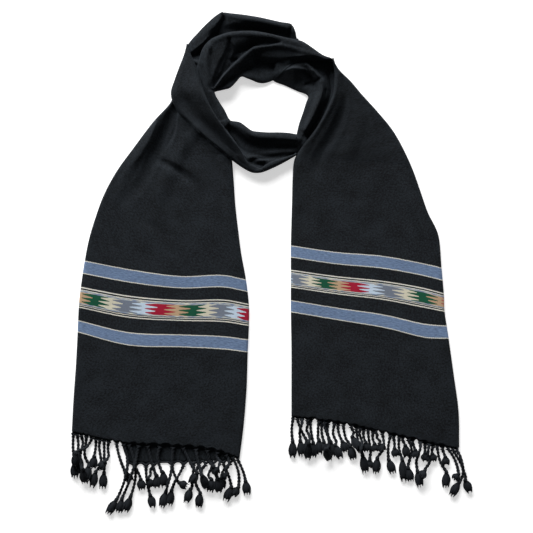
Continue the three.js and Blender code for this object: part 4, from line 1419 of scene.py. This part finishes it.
class StoleCloth(bpy.types.PropertyGroup):
    """Sizes of the folded cloth."""

    thickness: length_property("Cloth thickness", "How thick one layer of the wool is", 0.0009, 0.0004, 0.002)
    grid: length_property("Mesh spacing", "Distance between the mesh's rows on the ends", 0.0032, 0.002, 0.01)
    ring_grid: length_property("Ring's mesh spacing", "The same on the neck ring", 0.0021, 0.0015, 0.01)
    twill: length_property("Twill spacing", "Distance between the twill's ridges", 0.0013, 0.0005, 0.005)
    unevenness: length_property("Unevenness", "Height of the cloth's slow ripples", 0.0009, 0, 0.005)
    scallop: length_property("Hem scallop", "How far the hem draws up between tassels", 0.004, 0, 0.006)


class StoleFringe(bpy.types.PropertyGroup):
    """Sizes of the twisted fringe."""

    twist: length_property("Twist spacing", "Distance between a cord's visible twists", 0.006, 0.003, 0.02)
    cord_ring: length_property("Cord mesh spacing", "Distance between a cord's rings", 0.00095, 0.0005, 0.003)
    yarn: length_property("Yarn radius", "Radius of a loose yarn in a tuft", 0.00085, 0.0002, 0.002)
    yarns: bpy.props.IntProperty(name="Yarns", description="Loose yarns in a tuft", default=22, min=6, max=60)


class StoleColours(bpy.types.PropertyGroup):
    """Colours of the wool and its woven border."""

    wool: colour_property("Wool", "The plain black cloth", "15191d")
    yarn: colour_property("Fringe", "The fringe's yarn", "16191d")
    nap: colour_property("Nap", "The soft light on the cloth's nap", "9fb0c4")
    blue: colour_property("Blue", "The two plain stripes", "6a7e9c")
    ground: colour_property("Band ground", "The pale ground of the figured band", "98a3ae")
    thread: colour_property("Line thread", "The thin lines along the stripes and the band", "efeadb")
    cream: colour_property("Cream", "One of the light figures", "d2cdb8")
    tan: colour_property("Tan", "One of the light figures", "b89b7c")
    ice: colour_property("Ice blue", "One of the light figures", "c4d4e4")
    green: colour_property("Green", "One of the dark figures", "17513a")
    slate: colour_property("Slate", "One of the dark figures", "727a88")
    red: colour_property("Red", "One of the dark figures", "a01a34")
    sheen: number_property("Sheen", "How much light the nap catches", 0.05, 0, 1, subtype="FACTOR")


class StoleStage(bpy.types.PropertyGroup):
    """The floor, the light and the camera."""

    frame_width: length_property("Frame width", "Width of floor that the camera sees", 0.9061, 0.3, 3)
    centre_x: length_property("Centre X", "Middle of the picture", -0.009, -1, 1)
    centre_y: length_property("Centre Y", "Middle of the picture", -0.005, -1, 1)
    lens: number_property("Lens", "Focal length", 100, 20, 300, subtype="DISTANCE_CAMERA")
    key_power: number_property("Main light", "Power of the soft light at the top", 700, 0, 5000, unit="POWER")
    fill: number_property("Fill", "Strength of the light all round", 0.08, 0, 5)
    glow: number_property("Floor glow", "Light from the floor itself", 0.54, 0, 5)


class StoleOperator:
    """What the operators share."""

    bl_options = {"REGISTER", "UNDO"}

    def dress(self, context, nodes, bordered):
        scene = context.scene
        name = "Wool with border" if bordered else "Plain wool"
        cloth = wool_cloth(name, scene.stole_colours, scene.stole_cloth, bordered)
        for node in nodes:
            piece = lay_stretch(node, scene.stole_cloth, cloth)
            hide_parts(node)
        return {"FINISHED"}


class STOLE_OT_left_end(StoleOperator, bpy.types.Operator):
    """Lay the left end, folded double"""

    bl_idname = "stole.left_end"
    bl_label = "Left end"

    def execute(self, context):
        return self.dress(context, ["tail_left"], True)


class STOLE_OT_neck_ring(StoleOperator, bpy.types.Operator):
    """Lay the turns of the neck ring, lowest first"""

    bl_idname = "stole.neck_ring"
    bl_label = "Neck ring"

    def execute(self, context):
        turns = [name for name in SHAPES if name.startswith("collar")]
        return self.dress(context, turns, False)


class STOLE_OT_right_end(StoleOperator, bpy.types.Operator):
    """Lay the right end over the neck ring, folded double"""

    bl_idname = "stole.right_end"
    bl_label = "Right end"

    def execute(self, context):
        return self.dress(context, ["tail_right"], True)


class STOLE_OT_fringes(StoleOperator, bpy.types.Operator):
    """Hang the twisted cords, their knots and tufts on both ends"""

    bl_idname = "stole.fringes"
    bl_label = "Fringes"

    def execute(self, context):
        scene = context.scene
        material = fringe_yarn(scene.stole_colours)
        strands = lay_strands()
        for fringe in named(FRINGE, FRINGES):
            paths = strands[fringe["name"]]
            piece = make_fringe(fringe, paths, scene.stole_fringe, scene.stole_cloth, material)
            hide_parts(fringe["name"])
        return {"FINISHED"}


class STOLE_OT_stage(StoleOperator, bpy.types.Operator):
    """Make the pale floor, the soft light and the camera"""

    bl_idname = "stole.stage"
    bl_label = "Stage"

    def execute(self, context):
        scene = context.scene
        stage = scene.stole_stage
        make_floor(stage)
        make_lights(scene, stage)
        make_camera(scene, stage)
        return {"FINISHED"}


FLOOR_SIZE = 4
FLOOR_DROP = 0.0002  # below the solids
LAMP_PLACE = (-1.2, 4.8, 2.0)
LAMP_SIZE = (4.5, 2.6)
SENSOR_WIDTH = 36


def make_floor(stage):
    bm = bmesh.new()
    bmesh.ops.create_grid(bm, x_segments=1, y_segments=1, size=FLOOR_SIZE)
    bmesh.ops.translate(bm, verts=bm.verts, vec=(0, 0, CAD_BOX[0].z - FLOOR_DROP))
    mesh = bpy.data.meshes.new("Floor")
    bm.to_mesh(mesh)
    bm.free()
    floor = bpy.data.objects.new("Floor", mesh)
    bpy.context.scene.collection.objects.link(floor)
    graph = Graph("Pale floor")
    grain = graph.noise(graph.own_place(), scale=3.0, detail=1.0)
    graph.set_shader({
        "Base Color": graph.ramp(grain, [(0.3, 0.86), (0.7, 0.88)]),
        "Roughness": 0.9,
        "Specular IOR Level": 0,
        "Emission Color": (1, 1, 1),
        "Emission Strength": stage.glow,
    })
    mesh.materials.append(graph.material)


def make_lights(scene, stage):
    world = bpy.data.worlds.new("Soft room")
    world.use_nodes = True
    background = world.node_tree.nodes["Background"]
    background.inputs["Color"].default_value = (1, 1, 1, 1)
    background.inputs["Strength"].default_value = stage.fill
    scene.world = world
    scene.view_settings.view_transform = "Standard"
    lamp = bpy.data.lights.new("Main light", "AREA")
    lamp.shape = "RECTANGLE"
    lamp.size, lamp.size_y = LAMP_SIZE
    lamp.energy = stage.key_power
    light = bpy.data.objects.new("Main light", lamp)
    light.location = LAMP_PLACE
    light.rotation_euler = (-light.location).to_track_quat("-Z", "Y").to_euler()
    scene.collection.objects.link(light)


def make_camera(scene, stage):
    lens = bpy.data.cameras.new("Overhead camera")
    lens.sensor_width = SENSOR_WIDTH
    lens.lens = stage.lens
    camera = bpy.data.objects.new("Overhead camera", lens)
    height = stage.frame_width * lens.lens / lens.sensor_width
    camera.location = (stage.centre_x, stage.centre_y, height)
    scene.collection.objects.link(camera)
    scene.camera = camera


class STOLE_PT_panel(bpy.types.Panel):
    """The stole's steps and sizes"""

    bl_idname = "STOLE_PT_panel"
    bl_label = "Folded wool stole"
    bl_space_type = "VIEW_3D"
    bl_region_type = "UI"
    bl_category = "Stole"

    def draw(self, context):
        for operator in OPERATORS:
            self.layout.operator(operator.bl_idname)
        for key in GROUPS:
            group = getattr(context.scene, key)
            box = self.layout.box()
            for name in group.__annotations__:
                box.prop(group, name)


OPERATORS = (STOLE_OT_left_end, STOLE_OT_neck_ring, STOLE_OT_right_end, STOLE_OT_fringes, STOLE_OT_stage)
GROUPS = {
    "stole_cloth": StoleCloth,
    "stole_fringe": StoleFringe,
    "stole_colours": StoleColours,
    "stole_stage": StoleStage,
}


def register():
    for cls in (*GROUPS.values(), *OPERATORS, STOLE_PT_panel):
        bpy.utils.register_class(cls)
    for key, group in GROUPS.items():
        setattr(bpy.types.Scene, key, bpy.props.PointerProperty(type=group))


def unregister():
    for key in GROUPS:
        delattr(bpy.types.Scene, key)
    for cls in reversed((*GROUPS.values(), *OPERATORS, STOLE_PT_panel)):
        bpy.utils.unregister_class(cls)


def main():
    register()
    bpy.ops.stole.left_end()
    bpy.ops.stole.neck_ring()
    bpy.ops.stole.right_end()
    bpy.ops.stole.fringes()
    bpy.ops.stole.stage()


if __name__ == "__main__":
    main()
